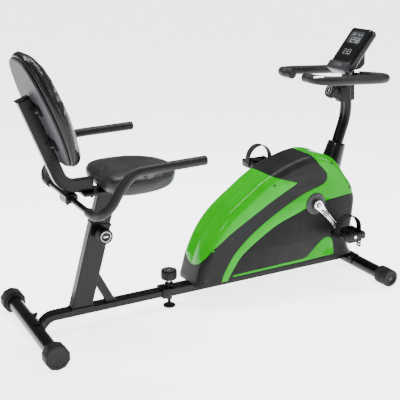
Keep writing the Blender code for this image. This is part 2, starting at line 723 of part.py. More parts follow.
def main_frame():
    """Outer rail, upright, bottom bracket, flywheel fork and magnet lug, welded."""
    rail_front = WHEELBASE - STABILISER_R + 0.008
    length = rail_front - RAIL_REAR_X
    rail_x = along((rail_front + RAIL_REAR_X) / 2)
    rail = block((length, RAIL_W, RAIL_H), (rail_x, 0, RAIL_MID), bevel=0.003)
    down = (POST_FOOT_Z - RAIL_TOP + 0.0015) / cos(POST_LEAN)
    upright = block((UPRIGHT_D, UPRIGHT_W, down), (post_axis(0.0) + post_axis(-down)) / 2,
                    lean=POST_LEAN, bevel=0.003)
    shell_end = PULLEY_Y - 0.001
    bb_shell = rod(BB_SHELL_R, (along(CRANK_X), shell_end - BB_SHELL_LENGTH, CRANK_Z),
                   (along(CRANK_X), shell_end, CRANK_Z), sides=24)
    upright_x = post_axis((CRANK_Z - POST_FOOT_Z) / cos(POST_LEAN)).x
    arm = block((upright_x - along(CRANK_X), 0.016, 0.030),
                ((upright_x + along(CRANK_X)) / 2, -0.010, CRANK_Z))
    # the fork stands on the rail and spans the flywheel
    fork_z = FLYWHEEL_Z + 0.016
    plate_low, plate_high = -0.034, 0.050
    fork_base = block((0.070, plate_high - plate_low + 0.004, 0.005),
                      (along(FLYWHEEL_X), (plate_low + plate_high) / 2, RAIL_TOP + 0.0015))
    fork_sides = [block((0.034, 0.004, fork_z - RAIL_TOP),
                        (along(FLYWHEEL_X), y, (fork_z + RAIL_TOP) / 2)) for y in (plate_low, plate_high)]
    lug = [block((0.024, 0.004, 0.046), (along(MAGNET_PIVOT_X), y, MAGNET_PIVOT_Z - 0.011))
           for y in (-0.011, 0.011)]
    boss_low = RAIL_BOTTOM - 0.018
    foot_boss = rod(0.012, (along(RAIL_KNOB_X), 0, boss_low), (along(RAIL_KNOB_X), 0, RAIL_BOTTOM + 0.001),
                    sides=20)
    body = weld(rail, upright, arm, bb_shell, fork_base, *fork_sides, *lug, foot_boss)
    closed = 0.042
    cavity = block((length + 0.02 - closed, RAIL_W - 2 * RAIL_WALL, RAIL_H - 2 * RAIL_WALL),
                   (rail_x - (0.02 + closed) / 2, 0, RAIL_MID))
    inside = UPRIGHT_D - 2 * UPRIGHT_WALL, UPRIGHT_W - 2 * UPRIGHT_WALL
    deep = down - 0.030
    upright_cavity = block((*inside, deep + 0.02), (post_axis(0.02) + post_axis(-deep)) / 2, lean=POST_LEAN)
    wide = SHROUD_HALF_WIDTH
    bearing = rod(room_for(CRANK_AXLE_R, 24), (along(CRANK_X), -wide, CRANK_Z),
                  (along(CRANK_X), wide, CRANK_Z), sides=24)
    axle_hole = rod(AXLE_R + GAP, (along(FLYWHEEL_X), -wide, FLYWHEEL_Z),
                    (along(FLYWHEEL_X), wide, FLYWHEEL_Z), sides=16)
    pivot_hole = rod(0.003 + GAP, (along(MAGNET_PIVOT_X), -0.03, MAGNET_PIVOT_Z),
                     (along(MAGNET_PIVOT_X), 0.03, MAGNET_PIVOT_Z), sides=12)
    pin_hole = rod(PIN_R + GAP, (along(RAIL_KNOB_X), 0, RAIL_MID), (along(RAIL_KNOB_X), 0, RAIL_TOP + 0.01),
                   sides=16)
    foot_hole = rod(FOOT_SCREW_R + 0.0005, (along(RAIL_KNOB_X), 0, boss_low - 0.01),
                    (along(RAIL_KNOB_X), 0, RAIL_MID), sides=16)
    body = cut(body, cavity, upright_cavity, bearing, axle_hole, pivot_hole, pin_hole, foot_hole)
    keep(add_saddle(body, WHEELBASE, FRONT_AXIS_Z, radians(130)), "main_frame", "black_paint")


def rail_fittings():
    """Pull knob with its pin, the star nut it passes through, and the levelling foot."""
    x = along(RAIL_KNOB_X)
    nut_top = RAIL_TOP + LOBED_NUT_H
    nut = rod(LOBED_NUT_R, (x, 0, RAIL_TOP + GAP), (x, 0, nut_top), sides=6, chamfer=0.002)
    bore = rod(room_for(RAIL_KNOB_STEM_R, 16), (x, 0, RAIL_TOP - 0.01), (x, 0, nut_top + 0.01), sides=16)
    nut = cut(nut, bore)
    keep(nut, "rail_star_nut", "black_plastic")
    knob_low, knob_high = RAIL_TOP + RAIL_KNOB_LOW, RAIL_TOP + RAIL_KNOB_HIGH
    profile = [(0.0, knob_high), (RAIL_KNOB_R - 0.006, knob_high), (RAIL_KNOB_R - 0.0005, knob_high - 0.006),
               (RAIL_KNOB_R, knob_low + 0.008), (RAIL_KNOB_R - 0.005, knob_low), (RAIL_KNOB_STEM_R, knob_low),
               (RAIL_KNOB_STEM_R, RAIL_TOP + 0.006), (PIN_R, RAIL_TOP + 0.003),
               (PIN_R, RAIL_TOP - RAIL_WALL + 0.0004), (0.0, RAIL_TOP - RAIL_WALL + 0.0004)]
    keep(turned(profile, (x, 0, 0), (0, 0, 1)), "rail_knob", "black_plastic")
    foot = [(0.0, RAIL_BOTTOM - 0.010), (FOOT_SCREW_R, RAIL_BOTTOM - 0.010), (FOOT_SCREW_R, 0.013),
            (FOOT_SCREW_R + 0.005, 0.012), (FOOT_R, 0.006), (FOOT_R, 0.0015), (FOOT_R - 0.0015, 0.0),
            (0.0, 0.0)]
    keep(turned(foot, (x, 0, 0), (0, 0, 1)), "levelling_foot", "rubber")


def seat_knob():
    """Pull knob on the near side of the seat tube; its pin stops inside the tube's wall."""
    start = seat_axis(SEAT_KNOB_UP)
    face = SEAT_TUBE_W / 2
    end = face + SEAT_KNOB_REACH
    profile = [(0.0, end), (SEAT_KNOB_R - 0.004, end), (SEAT_KNOB_R, end - 0.005),
               (SEAT_KNOB_R, face + 0.026), (0.0150, face + 0.018), (0.0090, face + 0.016),
               (0.0090, face + 0.0003), (PIN_R, face + 0.0003),
               (PIN_R, face - SEAT_TUBE_WALL + 0.0004), (0.0, face - SEAT_TUBE_WALL + 0.0004)]
    knob = turned(profile, start, (0, -1, 0))
    keep(knob, "seat_knob", "black_plastic")


# --------------------------------------------------------------- shroud ----
def from_crank(points):
    return [(along(CRANK_X) + x, z) for x, z in points]


SHROUD = [(-0.525, 0.094), (-0.516, 0.125), (-0.502, 0.175), (-0.479, 0.230), (-0.448, 0.285),
          (-0.405, 0.336), (-0.355, 0.378), (-0.310, 0.410), (-0.260, 0.446), (-0.210, 0.476),
          (-0.150, 0.503), (-0.090, 0.524), (-0.030, 0.537), (0.025, 0.537), (0.075, 0.520),
          (0.115, 0.487), (0.150, 0.440), (0.186, 0.394), (0.198, 0.362), (0.206, 0.330),
          (0.203, 0.280), (0.196, 0.215), (0.182, 0.170), (0.188, 0.130), (0.205, 0.100)]
UNDER_SHROUD = [(-0.700, 0.0800), (-0.548, 0.0823), (-0.380, 0.0960), (0.130, 0.0970), (0.300, 0.1010),
                (0.300, -0.200), (-0.700, -0.200)]
WING = [(-0.620, 0.140), (-0.455, 0.140), (-0.455, 0.228), (-0.466, 0.228), (-0.446, 0.240), (-0.321, 0.319),
        (-0.197, 0.387), (-0.099, 0.436), (-0.107, 0.446), (-0.181, 0.470), (-0.222, 0.492),
        (-0.245, 0.530), (-0.420, 0.520), (-0.600, 0.300)]
COWL = [(-0.423, 0.060), (-0.423, 0.097), (-0.405, 0.140), (-0.360, 0.205), (-0.280, 0.272),
        (-0.172, 0.337), (-0.062, 0.389), (0.019, 0.412), (0.042, 0.425), (0.050, 0.446),
        (0.044, 0.466), (0.008, 0.503), (-0.022, 0.539), (-0.030, 0.580), (0.300, 0.580),
        (0.300, 0.365), (0.149, 0.358), (0.046, 0.347), (-0.040, 0.330), (-0.080, 0.317),
        (-0.171, 0.287), (-0.247, 0.246), (-0.333, 0.187), (-0.375, 0.132), (-0.397, 0.093),
        (-0.400, 0.060)]
ABOVE_STRIPE = [(-0.411, 0.050), (-0.411, 0.095), (-0.395, 0.134), (-0.347, 0.196), (-0.263, 0.259),
                (-0.171, 0.312), (-0.070, 0.353), (0.030, 0.385), (0.100, 0.420), (0.100, 0.620),
                (-0.700, 0.620), (-0.700, 0.050)]
TRIM = [(-0.372, 0.111), (-0.054, 0.118), (-0.028, 0.126), (-0.002, 0.148), (0.030, 0.176),
        (0.055, 0.190), (0.078, 0.188), (0.092, 0.170), (0.099, 0.140), (0.102, 0.112),
        (-0.049, 0.107), (-0.375, 0.104)]


def shroud_solid(grow, low=-0.020):
    """The rounded body of the shroud, or the space inside it, drawn on below its edge."""
    outline = from_crank([(-0.528, low)] + SHROUD + [(0.212, low)])
    width = SHROUD_HALF_WIDTH + grow
    return sheet([outline], -width, width, edge=SHROUD_SHOULDER + grow, edge_steps=2, grow=grow)


def half_space(side):
    return block((3.0, 1.0, 3.0), (0, side * (0.5 + GAP / 2), 0))


def wing_tongue(grow):
    """The space, seen from behind, whose rounded foot gives the rear panel its pointed end."""
    outline = [(0.130, 0.700), (0.130, WING_SHOULDER_Z)]
    outline += [(WING_HALF_WIDTH * cos(a), WING_SHOULDER_Z - (WING_SHOULDER_Z - WING_FOOT_Z) * sin(a))
                for a in [pi * step / 12 for step in range(1, 12)]]
    outline += [(-0.130, WING_SHOULDER_Z), (-0.130, 0.700)]
    tongue = sheet([outline], -0.6, 0.9, grow=grow)
    tongue.data.transform(Matrix.Rotation(pi / 2, 4, "Z"))
    return tongue


def shroud():
    """Two black half shells with green panels let into them."""
    wide = SHROUD_HALF_WIDTH + 0.05
    shell = cut(shroud_solid(0.0), shroud_solid(-SHROUD_WALL, low=-0.060),
                sheet([from_crank(UNDER_SHROUD)], -wide, wide))
    axle_hole = rod(CRANK_AXLE_R + SHROUD_AXLE_ROOM, (along(CRANK_X), -wide, CRANK_Z),
                    (along(CRANK_X), wide, CRANK_Z), sides=24)
    shell = cut(shell, axle_hole)
    sleeve_hole = rod(SLEEVE_TOP_R + 0.001, post_axis(-0.25), post_axis(0.2), sides=24)
    shell = cut(shell, sleeve_hole)
    panels = {"wing": WING, "cowl": COWL, "trim": TRIM}
    for side in (-1, 1):
        half = overlap(copy_of(shell), half_space(side))
        for name, outline in panels.items():
            near = 0.06 if name == "trim" else -0.01
            low, high = sorted((side * near, side * wide))
            tools = [sheet([from_crank(outline)], low, high),
                     sheet([from_crank(outline)], low - 0.001, high, grow=PANEL_GAP)]
            if name == "wing":
                tools = [overlap(tools[0], wing_tongue(0.0)), overlap(tools[1], wing_tongue(PANEL_GAP))]
            keep(overlap(copy_of(half), tools[0]), name + "_" + side_name(side), "shroud_green")
            half = cut(half, tools[1])
        low, high = sorted((side * -0.01, side * wide))
        above = [sheet([from_crank(ABOVE_STRIPE)], low, high) for _ in range(2)]
        keep(overlap(copy_of(half), above[0]), "shroud_band_" + side_name(side), "shroud_black")
        keep(cut(half, above[1]), "shroud_" + side_name(side), "shroud_black")
    cutters.objects.unlink(shell)
    for side in (-1, 1):
        low, high = sorted((side * (SHROUD_HALF_WIDTH + GAP), side * (SHROUD_HALF_WIDTH + AXLE_COVER_T)))
        disc = rod(AXLE_COVER_R, (along(CRANK_X), low, CRANK_Z), (along(CRANK_X), high, CRANK_Z), sides=32,
                   chamfer=0.002)
        hole = rod(CRANK_AXLE_R + 0.002, (along(CRANK_X), -wide, CRANK_Z), (along(CRANK_X), wide, CRANK_Z),
                   sides=20)
        keep(cut(disc, hole), "axle_cover_" + side_name(side), "grey_plastic")


def copy_of(obj):
    twin = bpy.data.objects.new("shape", obj.data.copy())
    cutters.objects.link(twin)
    return twin


def post_sleeve():
    """The tapered cover over the foot of the handle post, trimmed to the shroud."""
    top = post_axis(0.115)
    foot = top - Vector((sin(POST_LEAN), 0, cos(POST_LEAN))) * SLEEVE_LENGTH
    beyond = Vector((sin(POST_LEAN), 0, cos(POST_LEAN))) * 0.01
    taper = (SLEEVE_BOTTOM_R - SLEEVE_TOP_R) / SLEEVE_LENGTH * 0.01
    body = rod(SLEEVE_BOTTOM_R, foot, top, sides=28, end_radius=SLEEVE_TOP_R)
    inside = rod(SLEEVE_BOTTOM_R - SLEEVE_WALL + taper, foot - beyond, top + beyond, sides=28,
                 end_radius=SLEEVE_TOP_R - SLEEVE_WALL - taper)
    body = cut(body, inside, shroud_solid(GAP))
    keep(body, "post_sleeve", "black_paint")


# ------------------------------------------------------ post and handlebar ----
def lobed_section(scale=1.0):
    """The post's closed section: two round lobes side by side."""
    waist = asin(POST_LOBE_OFFSET / POST_LOBE_R)
    front = arc((POST_LOBE_OFFSET, 0), POST_LOBE_R * scale, -pi / 2 - waist * 0.8, pi / 2 + waist * 0.8, 9)
    rear = [(-x, -y) for x, y in front]
    return front + rear


def handle_post():
    """A two-lobed tube that leans forward and then bends upright."""
    foot = post_axis(GAP * 4)
    bend = post_axis((POST_BEND_Z - POST_FOOT_Z) / cos(POST_LEAN))
    rise = POST_TOP_Z - bend.z
    top = bend + Vector((tan(POST_TOP_LEAN) * rise, 0, rise))
    spots = [foot]
    curl = 0.045
    for step in range(7):
        t = step / 6
        start = bend - (bend - foot).normalized() * curl
        end = bend + (top - bend).normalized() * curl
        spots.append((1 - t) ** 2 * start + 2 * t * (1 - t) * bend + t ** 2 * end)
    spots.append(top)
    bm = bmesh.new()
    rings = []
    for index, spot in enumerate(spots):
        ahead = spots[min(index + 1, len(spots) - 1)] - spots[max(index - 1, 0)]
        lean = atan2(ahead.x, ahead.z)
        across = Vector((cos(lean), 0, -sin(lean)))
        if index in (0, len(spots) - 1):
            across = Vector((1, 0, 0)) if index else Vector((cos(POST_LEAN), 0, -sin(POST_LEAN)))
        rings.append([bm.verts.new(spot + across * x + Vector((0, y, 0))) for x, y in lobed_section()])
    for lower, upper in zip(rings, rings[1:]):
        for index in range(len(lower)):
            after = (index + 1) % len(lower)
            bm.faces.new((lower[index], lower[after], upper[after], upper[index]))
    bm.faces.new(rings[0][::-1])
    bm.faces.new(rings[-1])
    keep(from_bmesh(bm), "handle_post", "black_paint")
    return spots


def bar_height(x):
    """The handlebar lies in a plane that falls slightly towards the front."""
    return BAR_Z + BAR_SLOPE * (x - BAR_X)


def bar_path(side):
    """Half of the handlebar, from the clamp out, back and in to its end."""
    half = BAR_HALF_WIDTH
    front = BAR_FRONT_X
    rear = BAR_REAR_X
    knots = [(BAR_X, 0.0), (BAR_X + 0.012, 0.036), (front - 0.035, 0.070), (front - 0.004, 0.102),
             (front - 0.014, half - 0.016), (front - 0.060, half), (BAR_X - 0.060, half),
             (rear + 0.070, half), (rear + 0.018, half - 0.016), (rear, half - 0.052),
             (rear, BAR_END_Y + 0.020), (rear, BAR_END_Y)]
    return smooth_path([(along(x), side * y, bar_height(x)) for x, y in knots], 2)


def handlebar():
    right, left = bar_path(-1), bar_path(1)
    keep(pipe(right[::-1] + left[1:], BAR_TUBE_R, BAR_WALL, detail=3), "handlebar_tube", "black_paint")
    for side in (-1, 1):
        path = bar_path(side)
        cover = [place for place in stretched(path, 0.003) if side * place.y > BAR_FOAM_START
                 or place.x < along(BAR_X - 0.050)]
        foam = tube(cover, BAR_FOAM_R, detail=4)
        hole = tube([bar_path(-side)[1]] + stretched(path, GAP), room_for(BAR_TUBE_R), detail=3)
        keep(cut(foam, hole), "bar_grip_" + side_name(side), "foam")
        wrap = [place for place in cover if side * place.y < BAR_HALF_WIDTH + 1 and
                place.x < along(BAR_REAR_X + 0.030) and side * place.y > BAR_END_Y + 0.016]
        wrap[0] = (wrap[0] + wrap[1]) / 2
        wrap[-1] = (wrap[-1] + wrap[-2]) / 2
        plate = pipe(wrap, room_for(BAR_FOAM_R, 12) + PULSE_T, PULSE_T, detail=4)
        mid = sum(wrap, Vector()) / len(wrap)
        lift = BAR_FOAM_R * 0.45
        upper = block((0.3, 0.3, 0.06), (mid.x, mid.y, mid.z + lift + 0.03))
        keep(overlap(plate, upper), "pulse_plate_" + side_name(side), "chrome")


def clamp_and_collar(post_top):
    """The clamp that holds the handlebar on top of the post."""
    low, high = POST_TOP_Z + GAP, BAR_Z + 0.0165
    clamp = block((0.032, 0.044, high - low), (along(BAR_X), 0, (low + high) / 2), bevel=0.002)
    bore = tube(bar_path(-1)[4::-1] + bar_path(1)[1:5], room_for(BAR_TUBE_R), detail=3)
    keep(cut(clamp, bore), "handlebar_clamp", "black_plastic")


def post_at(height):
    """The upper post's centre at a height."""
    bend = post_axis((POST_BEND_Z - POST_FOOT_Z) / cos(POST_LEAN))
    return bend + Vector((tan(POST_TOP_LEAN) * (height - bend.z), 0, height - bend.z))


KNOB_AXIS = Vector((-cos(radians(22)), 0, sin(radians(22))))


def tension_parts():
    """The resistance dial's housing, which grips the post, and the dial itself."""
    centre = post_at(TENSION_Z)
    collar = block((0.068, 0.046, 0.066), centre + Vector((-0.004, 0, 0)), lean=POST_TOP_LEAN, bevel=0.005)
    nose_start = centre + Vector((-0.030, 0, -0.006))
    nose_end = nose_start + KNOB_AXIS * 0.034
    nose = rod(0.021, nose_start, nose_end, sides=24, chamfer=0.002)
    body = weld(collar, nose)
    room = bmesh.new()
    low, high = post_at(0.68), post_at(POST_TOP_Z + 0.02)
    across = Vector((cos(POST_TOP_LEAN), 0, -sin(POST_TOP_LEAN)))
    rings = [[room.verts.new(spot + across * x * 1.025 + Vector((0, y * 1.025, 0)))
              for x, y in lobed_section()] for spot in (low, high)]
    for index in range(len(rings[0])):
        after = (index + 1) % len(rings[0])
        room.faces.new((rings[0][index], rings[0][after], rings[1][after], rings[1][index]))
    room.faces.new(rings[0][::-1])
    room.faces.new(rings[1])
    keep(cut(body, from_bmesh(room)), "tension_housing", "black_plastic")
    start = nose_end + KNOB_AXIS * 0.0005
    profile = [(0.0, 0.024), (0.0235, 0.024), (0.0270, 0.020), (0.0280, 0.006), (0.0260, 0.0), (0.0, 0.0)]
    keep(turned(profile, start, KNOB_AXIS, 30), "tension_knob", "black_plastic")


# --------------------------------------------------------------- console ----
def console_point(up, back, y=0.0):
    """A point from the middle of the console face's lower edge."""
    rise = Vector((sin(CONSOLE_TILT), 0, cos(CONSOLE_TILT)))
    inward = Vector((cos(CONSOLE_TILT), 0, -sin(CONSOLE_TILT)))
    return Vector((along(CONSOLE_X), y, CONSOLE_Z)) + rise * up + inward * back


def console_block(width, low, high, front, back, bevel=0.0, segments=2):
    centre = console_point((low + high) / 2, (front + back) / 2)
    return block((back - front, width, high - low), centre, lean=CONSOLE_TILT, bevel=bevel,
                 segments=segments)


def console():
    width = 2 * CONSOLE_HALF_WIDTH
    glass = width - 2 * WINDOW_MARGIN
    window_high = CONSOLE_H - WINDOW_MARGIN
    body = console_block(width, 0.0, CONSOLE_H, 0.0, CONSOLE_T, bevel=0.014, segments=3)
    window_pocket = console_block(glass, WINDOW_LOW, window_high, -0.02, WINDOW_DEPTH)
    key_pocket = console_block(KEY_W, KEY_LOW, KEY_HIGH, -0.02, KEY_DEPTH)
    keep(cut(body, window_pocket, key_pocket), "console_housing", "black_plastic")
    window = console_block(glass - 2 * GAP, WINDOW_LOW + GAP, window_high - GAP, GAP, WINDOW_DEPTH - GAP)
    keep(window, "console_window", "screen")
    key = console_block(KEY_W - 2 * KEY_GAP, KEY_LOW + KEY_GAP, KEY_HIGH - KEY_GAP, -0.0012, KEY_DEPTH / 2,
                        bevel=0.0006, segments=1)
    keep(key, "console_button", "grey_plastic")
    back = CONSOLE_T + GAP * 2
    clamp_top = BAR_Z + 0.0165 + GAP
    low, high = console_point(BRACKET_LOW, back), console_point(BRACKET_HIGH, back)
    outline = [(low.x, low.z), (high.x, high.z), (high.x + 0.010, high.z - 0.030),
               (high.x + 0.010, clamp_top + 0.020), (high.x - 0.010, clamp_top + 0.004),
               (along(BAR_X) + 0.014, clamp_top), (along(BAR_X) - 0.006, clamp_top)]
    half = BRACKET_HALF_WIDTH
    keep(sheet([outline], -half, half, edge=0.0015, edge_steps=0), "console_bracket", "black_plastic")


# ----------------------------------------------------------------- drive ----
def crank_side(side, angle):
    """A crank arm with its pedal spindle, the pedal and the pedal's strap."""
    axis = Vector((along(CRANK_X), 0, CRANK_Z))
    reach = Vector((cos(angle), 0, sin(angle))) * CRANK_LENGTH
    inner = SHROUD_HALF_WIDTH + CRANK_GAP
    outer = inner + CRANK_T
    start = axis + Vector((0, side * inner, 0))
    end = axis + Vector((0, side * outer, 0))
    hub = rod(0.019, start, end, sides=24, chamfer=0.0015)
    eye = rod(0.0145, start + reach, end + reach, sides=20, chamfer=0.0015)
    arm = block((0.019, CRANK_T - 0.003, CRANK_LENGTH), axis + reach / 2
                + Vector((0, side * (inner + outer) / 2, 0)), lean=pi / 2 - angle, bevel=0.002)
    spindle_end = outer + PEDAL_LENGTH - 0.008
    spindle = rod(PEDAL_SPINDLE_R, end + reach - Vector((0, side * 0.004, 0)),
                  axis + reach + Vector((0, side * spindle_end, 0)), sides=16)
    body = weld(hub, arm, eye, spindle)
    bore = rod(CRANK_AXLE_R + GAP, axis - Vector((0, side * 0.02, 0)),
               end + Vector((0, side * 0.02, 0)), sides=20)
    keep(cut(body, bore), "crank_arm_" + side_name(side), "chrome")
    pedal(side, axis + reach, outer)


def pedal(side, centre, inner_y):
    """A caged pedal; the strap arches over it from its rear edge to its front edge."""
    low_y, high_y = inner_y + 0.002, inner_y + 0.002 + PEDAL_LENGTH
    mid_y = side * (low_y + high_y) / 2
    size = (PEDAL_WIDTH, PEDAL_LENGTH, PEDAL_T)
    body = block(size, centre + Vector((0, mid_y, 0)), bevel=0.006)
    for offset in (-0.029, 0.029):
        slot = block((0.026, PEDAL_LENGTH - 0.030, 0.05), centre + Vector((offset, mid_y, 0)))
        body = cut(body, slot)
    weight = block((0.046, PEDAL_LENGTH - 0.020, 0.020), centre + Vector((0.0, mid_y, -0.018)), bevel=0.006)
    body = weld(body, weight)
    spindle_room = rod(PEDAL_SPINDLE_R + GAP, centre + Vector((0, side * (inner_y - 0.01), 0)),
                       centre + Vector((0, side * (high_y - 0.008), 0)), sides=16)
    keep(cut(body, spindle_room), "pedal_" + side_name(side), "black_plastic")
    half = PEDAL_WIDTH / 2 + GAP * 2
    foot_z = centre.z - PEDAL_T / 2 + 0.004
    start_z = centre.z + PEDAL_T / 2
    steps = 12
    outer, inner = [(centre.x - half - STRAP_T, foot_z)], [(centre.x - half, foot_z)]
    for step in range(steps + 1):
        a = pi - pi * step / steps
        lift = sin(a) if 0 < step < steps else 0.0
        spread = cos(a)
        inner.append((centre.x + spread * half, start_z + lift * STRAP_RISE))
        outer.append((centre.x + spread * (half + STRAP_T), start_z + lift * (STRAP_RISE + STRAP_T)))
    inner.append((centre.x + half, foot_z))
    outer.append((centre.x + half + STRAP_T, foot_z))
    outline = outer + inner[::-1]
    low, high = mid_y - STRAP_W / 2, mid_y + STRAP_W / 2
    keep(sheet([outline], low, high), "pedal_strap_" + side_name(side), "rubber")


def drive():
    """Crank axle, pulleys, belt, flywheel and the magnets that brake it."""
    axis = Vector((along(CRANK_X), 0, CRANK_Z))
    reach = SHROUD_HALF_WIDTH + CRANK_GAP + CRANK_T + 0.004
    axle = rod(CRANK_AXLE_R, axis - Vector((0, reach, 0)), axis + Vector((0, reach, 0)), sides=24)
    keep(axle, "crank_axle", "steel")
    belt_low, belt_high = BELT_Y - BELT_W / 2, BELT_Y + BELT_W / 2
    groove = DRIVE_PULLEY_R
    profile = [(CRANK_AXLE_R + GAP, 0.0125), (groove + 0.003, 0.0125), (groove + 0.003, 0.0112),
               (groove, 0.0112), (groove, 0.0013), (groove + 0.003, 0.0013), (groove + 0.003, 0.0),
               (CRANK_AXLE_R + GAP, 0.0), (CRANK_AXLE_R + GAP, 0.0125)]
    wheel = turned(profile, (axis.x, PULLEY_Y, axis.z), (0, 1, 0), 28)
    for number in range(5):
        a = 2 * pi * number / 5 + 0.3
        spot = axis + Vector((cos(a), 0, sin(a))) * groove * 0.60
        across = Vector((0, 0.1, 0))
        wheel = cut(wheel, rod(groove * 0.20, spot - across, spot + across, sides=12))
    keep(wheel, "drive_pulley", "black_plastic")
    hub = Vector((along(FLYWHEEL_X), 0, FLYWHEEL_Z))
    thick = FLYWHEEL_T / 2
    small = FLYWHEEL_PULLEY_R
    bore = room_for(AXLE_R, 24)
    top = belt_high + 0.0045
    profile = [(bore, top), (small + 0.003, top), (small + 0.003, top - 0.0015), (small, top - 0.0015),
               (small, belt_low - 0.0005), (small + 0.003, belt_low - 0.0005),
               (small + 0.003, belt_low - 0.002), (0.016, belt_low - 0.002), (0.016, 0.0045),
               (FLYWHEEL_R - 0.028, 0.0045), (FLYWHEEL_R - 0.022, thick), (FLYWHEEL_R, thick),
               (FLYWHEEL_R, -thick), (FLYWHEEL_R - 0.022, -thick), (FLYWHEEL_R - 0.028, -0.0045),
               (0.016, -0.0045), (0.016, -0.024), (bore, -0.024), (bore, top)]
    keep(turned(profile, hub, (0, 1, 0), 28), "flywheel", "cast_iron")
    axle = rod(AXLE_R, hub + Vector((0, -0.042, 0)), hub + Vector((0, 0.058, 0)), sides=20)
    keep(axle, "flywheel_axle", "steel")
    belt(axis, hub)
    magnet_arm(hub)


def belt(axis, hub):
    """A closed band round both pulleys, running clear of their rims."""
    large, small = room_for(DRIVE_PULLEY_R, 28), room_for(FLYWHEEL_PULLEY_R, 20)
    span = Vector((axis.x - hub.x, axis.z - hub.z))
    slope = atan2(span.y, span.x)
    wrap = asin((large - small) / span.length)
    loops = []
    for extra in (BELT_T, 0.0):
        front = arc((axis.x, axis.z), large + extra, slope - pi / 2 - wrap, slope + pi / 2 + wrap, 18)
        rear = arc((hub.x, hub.z), small + extra, slope + pi / 2 + wrap, slope + 3 * pi / 2 - wrap, 10)
        loops.append(front + rear)
    keep(sheet(loops, BELT_Y - BELT_W / 2 + GAP, BELT_Y + BELT_W / 2 - GAP), "drive_belt", "rubber")


def magnet_arm(hub):
    """A curved arm round the back of the flywheel that swings on the lug."""
    clear = FLYWHEEL_R + 0.003
    pivot = Vector((along(MAGNET_PIVOT_X), MAGNET_PIVOT_Z))
    inner = arc((hub.x, hub.z), clear, radians(145), radians(214), 10)
    outer = arc((hub.x, hub.z), clear + 0.014, radians(145), radians(208), 10)
    outline = inner + [(pivot.x + 0.007, pivot.y - 0.004), (pivot.x, pivot.y - 0.008),
                       (pivot.x - 0.007, pivot.y - 0.004)] + outer[::-1]
    arm = sheet([outline], -0.0085, 0.0085)
    pin = rod(0.003, (pivot.x, -0.0125, pivot.y), (pivot.x, 0.0125, pivot.y), sides=12)
    keep(weld(arm, pin), "magnet_arm", "steel")


# ----------------------------------------------------------------- build ----
stabiliser("rear_stabiliser", 0.0, REAR_AXIS_Z, REAR_HALF_WIDTH - CAP_WALL - 0.0005)
stabiliser("front_stabiliser", WHEELBASE, FRONT_AXIS_Z,
           FRONT_HALF_WIDTH - WHEEL_WIDTH - CAP_WALL - 0.0015)
for side in (-1, 1):
    rear_cap(side)
    front_end(side)
rear_frame()
seat_frame()
seat_cushion()
BACK_FRONT = BACK_BRACKET_T + GAP
back_slab("back_panel", "panel", BACK_PANEL_INSET, BACK_FRONT, BACK_FRONT + BACK_PANEL_T, 0.002)
back_slab("back_cushion", "vinyl", 0.0, BACK_FRONT + BACK_PANEL_T + GAP,
          BACK_FRONT + BACK_PANEL_T + GAP + BACK_THICKNESS, 0.018)
side_handles()
main_frame()
rail_fittings()
seat_knob()
shroud()
post_sleeve()
clamp_and_collar(handle_post()[-1])
handlebar()
tension_parts()
console()
drive()
crank_side(-1, CRANK_ANGLE)
crank_side(1, CRANK_ANGLE + pi)


def hang(name, place, members, parent=None):
    """Puts an empty on a joint's axis and parents the pieces that move with it."""
    pivot = bpy.data.objects.new(name, None)
    pivot.empty_display_size = 0.03
    pivot.location = place
    parts.objects.link(pivot)
    bpy.context.view_layer.update()
    for member in members:
        piece = bpy.data.objects[member]
        piece.parent = pivot
        piece.matrix_parent_inverse = pivot.matrix_world.inverted()
    if parent:
        pivot.parent = parent
        pivot.matrix_parent_inverse = parent.matrix_world.inverted()
    return pivot


crank_centre = Vector((along(CRANK_X), 0, CRANK_Z))
knob_point = post_at(TENSION_Z) + KNOB_AXIS * 0.03
rear_slide = hang("rear_frame_slide", (along(RAIL_REAR_X), 0, RAIL_MID),
                  ["rear_frame", "rear_stabiliser", "rear_cap_left", "rear_cap_right"])
hang("seat_height_slide", seat_axis(SEAT_TUBE_LENGTH),
     ["seat_frame", "seat_cushion", "back_panel", "back_cushion", "side_handle_tube",
      "side_handle_clamp", "side_grip_left", "side_grip_right"], rear_slide)
hang("seat_knob_axis", seat_axis(SEAT_KNOB_UP), ["seat_knob"], rear_slide)
hang("rail_knob_axis", (along(RAIL_KNOB_X), 0, RAIL_TOP), ["rail_knob"])
hang("levelling_foot_axis", (along(RAIL_KNOB_X), 0, 0), ["levelling_foot"])
crank_pivot = hang("crank_pivot", crank_centre,
                   ["crank_axle", "drive_pulley", "crank_arm_left", "crank_arm_right"])
hang("flywheel_pivot", (along(FLYWHEEL_X), 0, FLYWHEEL_Z), ["flywheel"])
hang("magnet_pivot", (along(MAGNET_PIVOT_X), 0, MAGNET_PIVOT_Z), ["magnet_arm"])
hang("tension_axis", knob_point, ["tension_knob"])
hang("console_button_axis", console_point((KEY_LOW + KEY_HIGH) / 2, 0.0), ["console_button"])
for side in (-1, 1):
    sign = side_name(side)
    reach = Vector((cos(CRANK_ANGLE), 0, sin(CRANK_ANGLE))) * CRANK_LENGTH * -side
    hang("pedal_pivot_" + sign, crank_centre + reach, ["pedal_" + sign, "pedal_strap_" + sign],
         crank_pivot)
    hang("wheel_pivot_" + sign, (along(WHEELBASE), side * FRONT_HALF_WIDTH, FRONT_AXIS_Z),
         ["transport_wheel_" + sign])

for tool in list(cutters.objects):
    tool.hide_render = True
    tool.display_type = "WIRE"
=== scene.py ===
"""Recumbent exercise bike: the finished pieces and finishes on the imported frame.

Metres, +X forward, +Y to the rider's left, +Z up, origin on the floor below the
middle of the bike.  Lengths along the bike are measured from the rear stabiliser.
"""
import json
from math import asin, atan2, cos, pi, radians, sin, tan

import bmesh
import bpy
from mathutils import Matrix, Vector
from mathutils.bvhtree import BVHTree


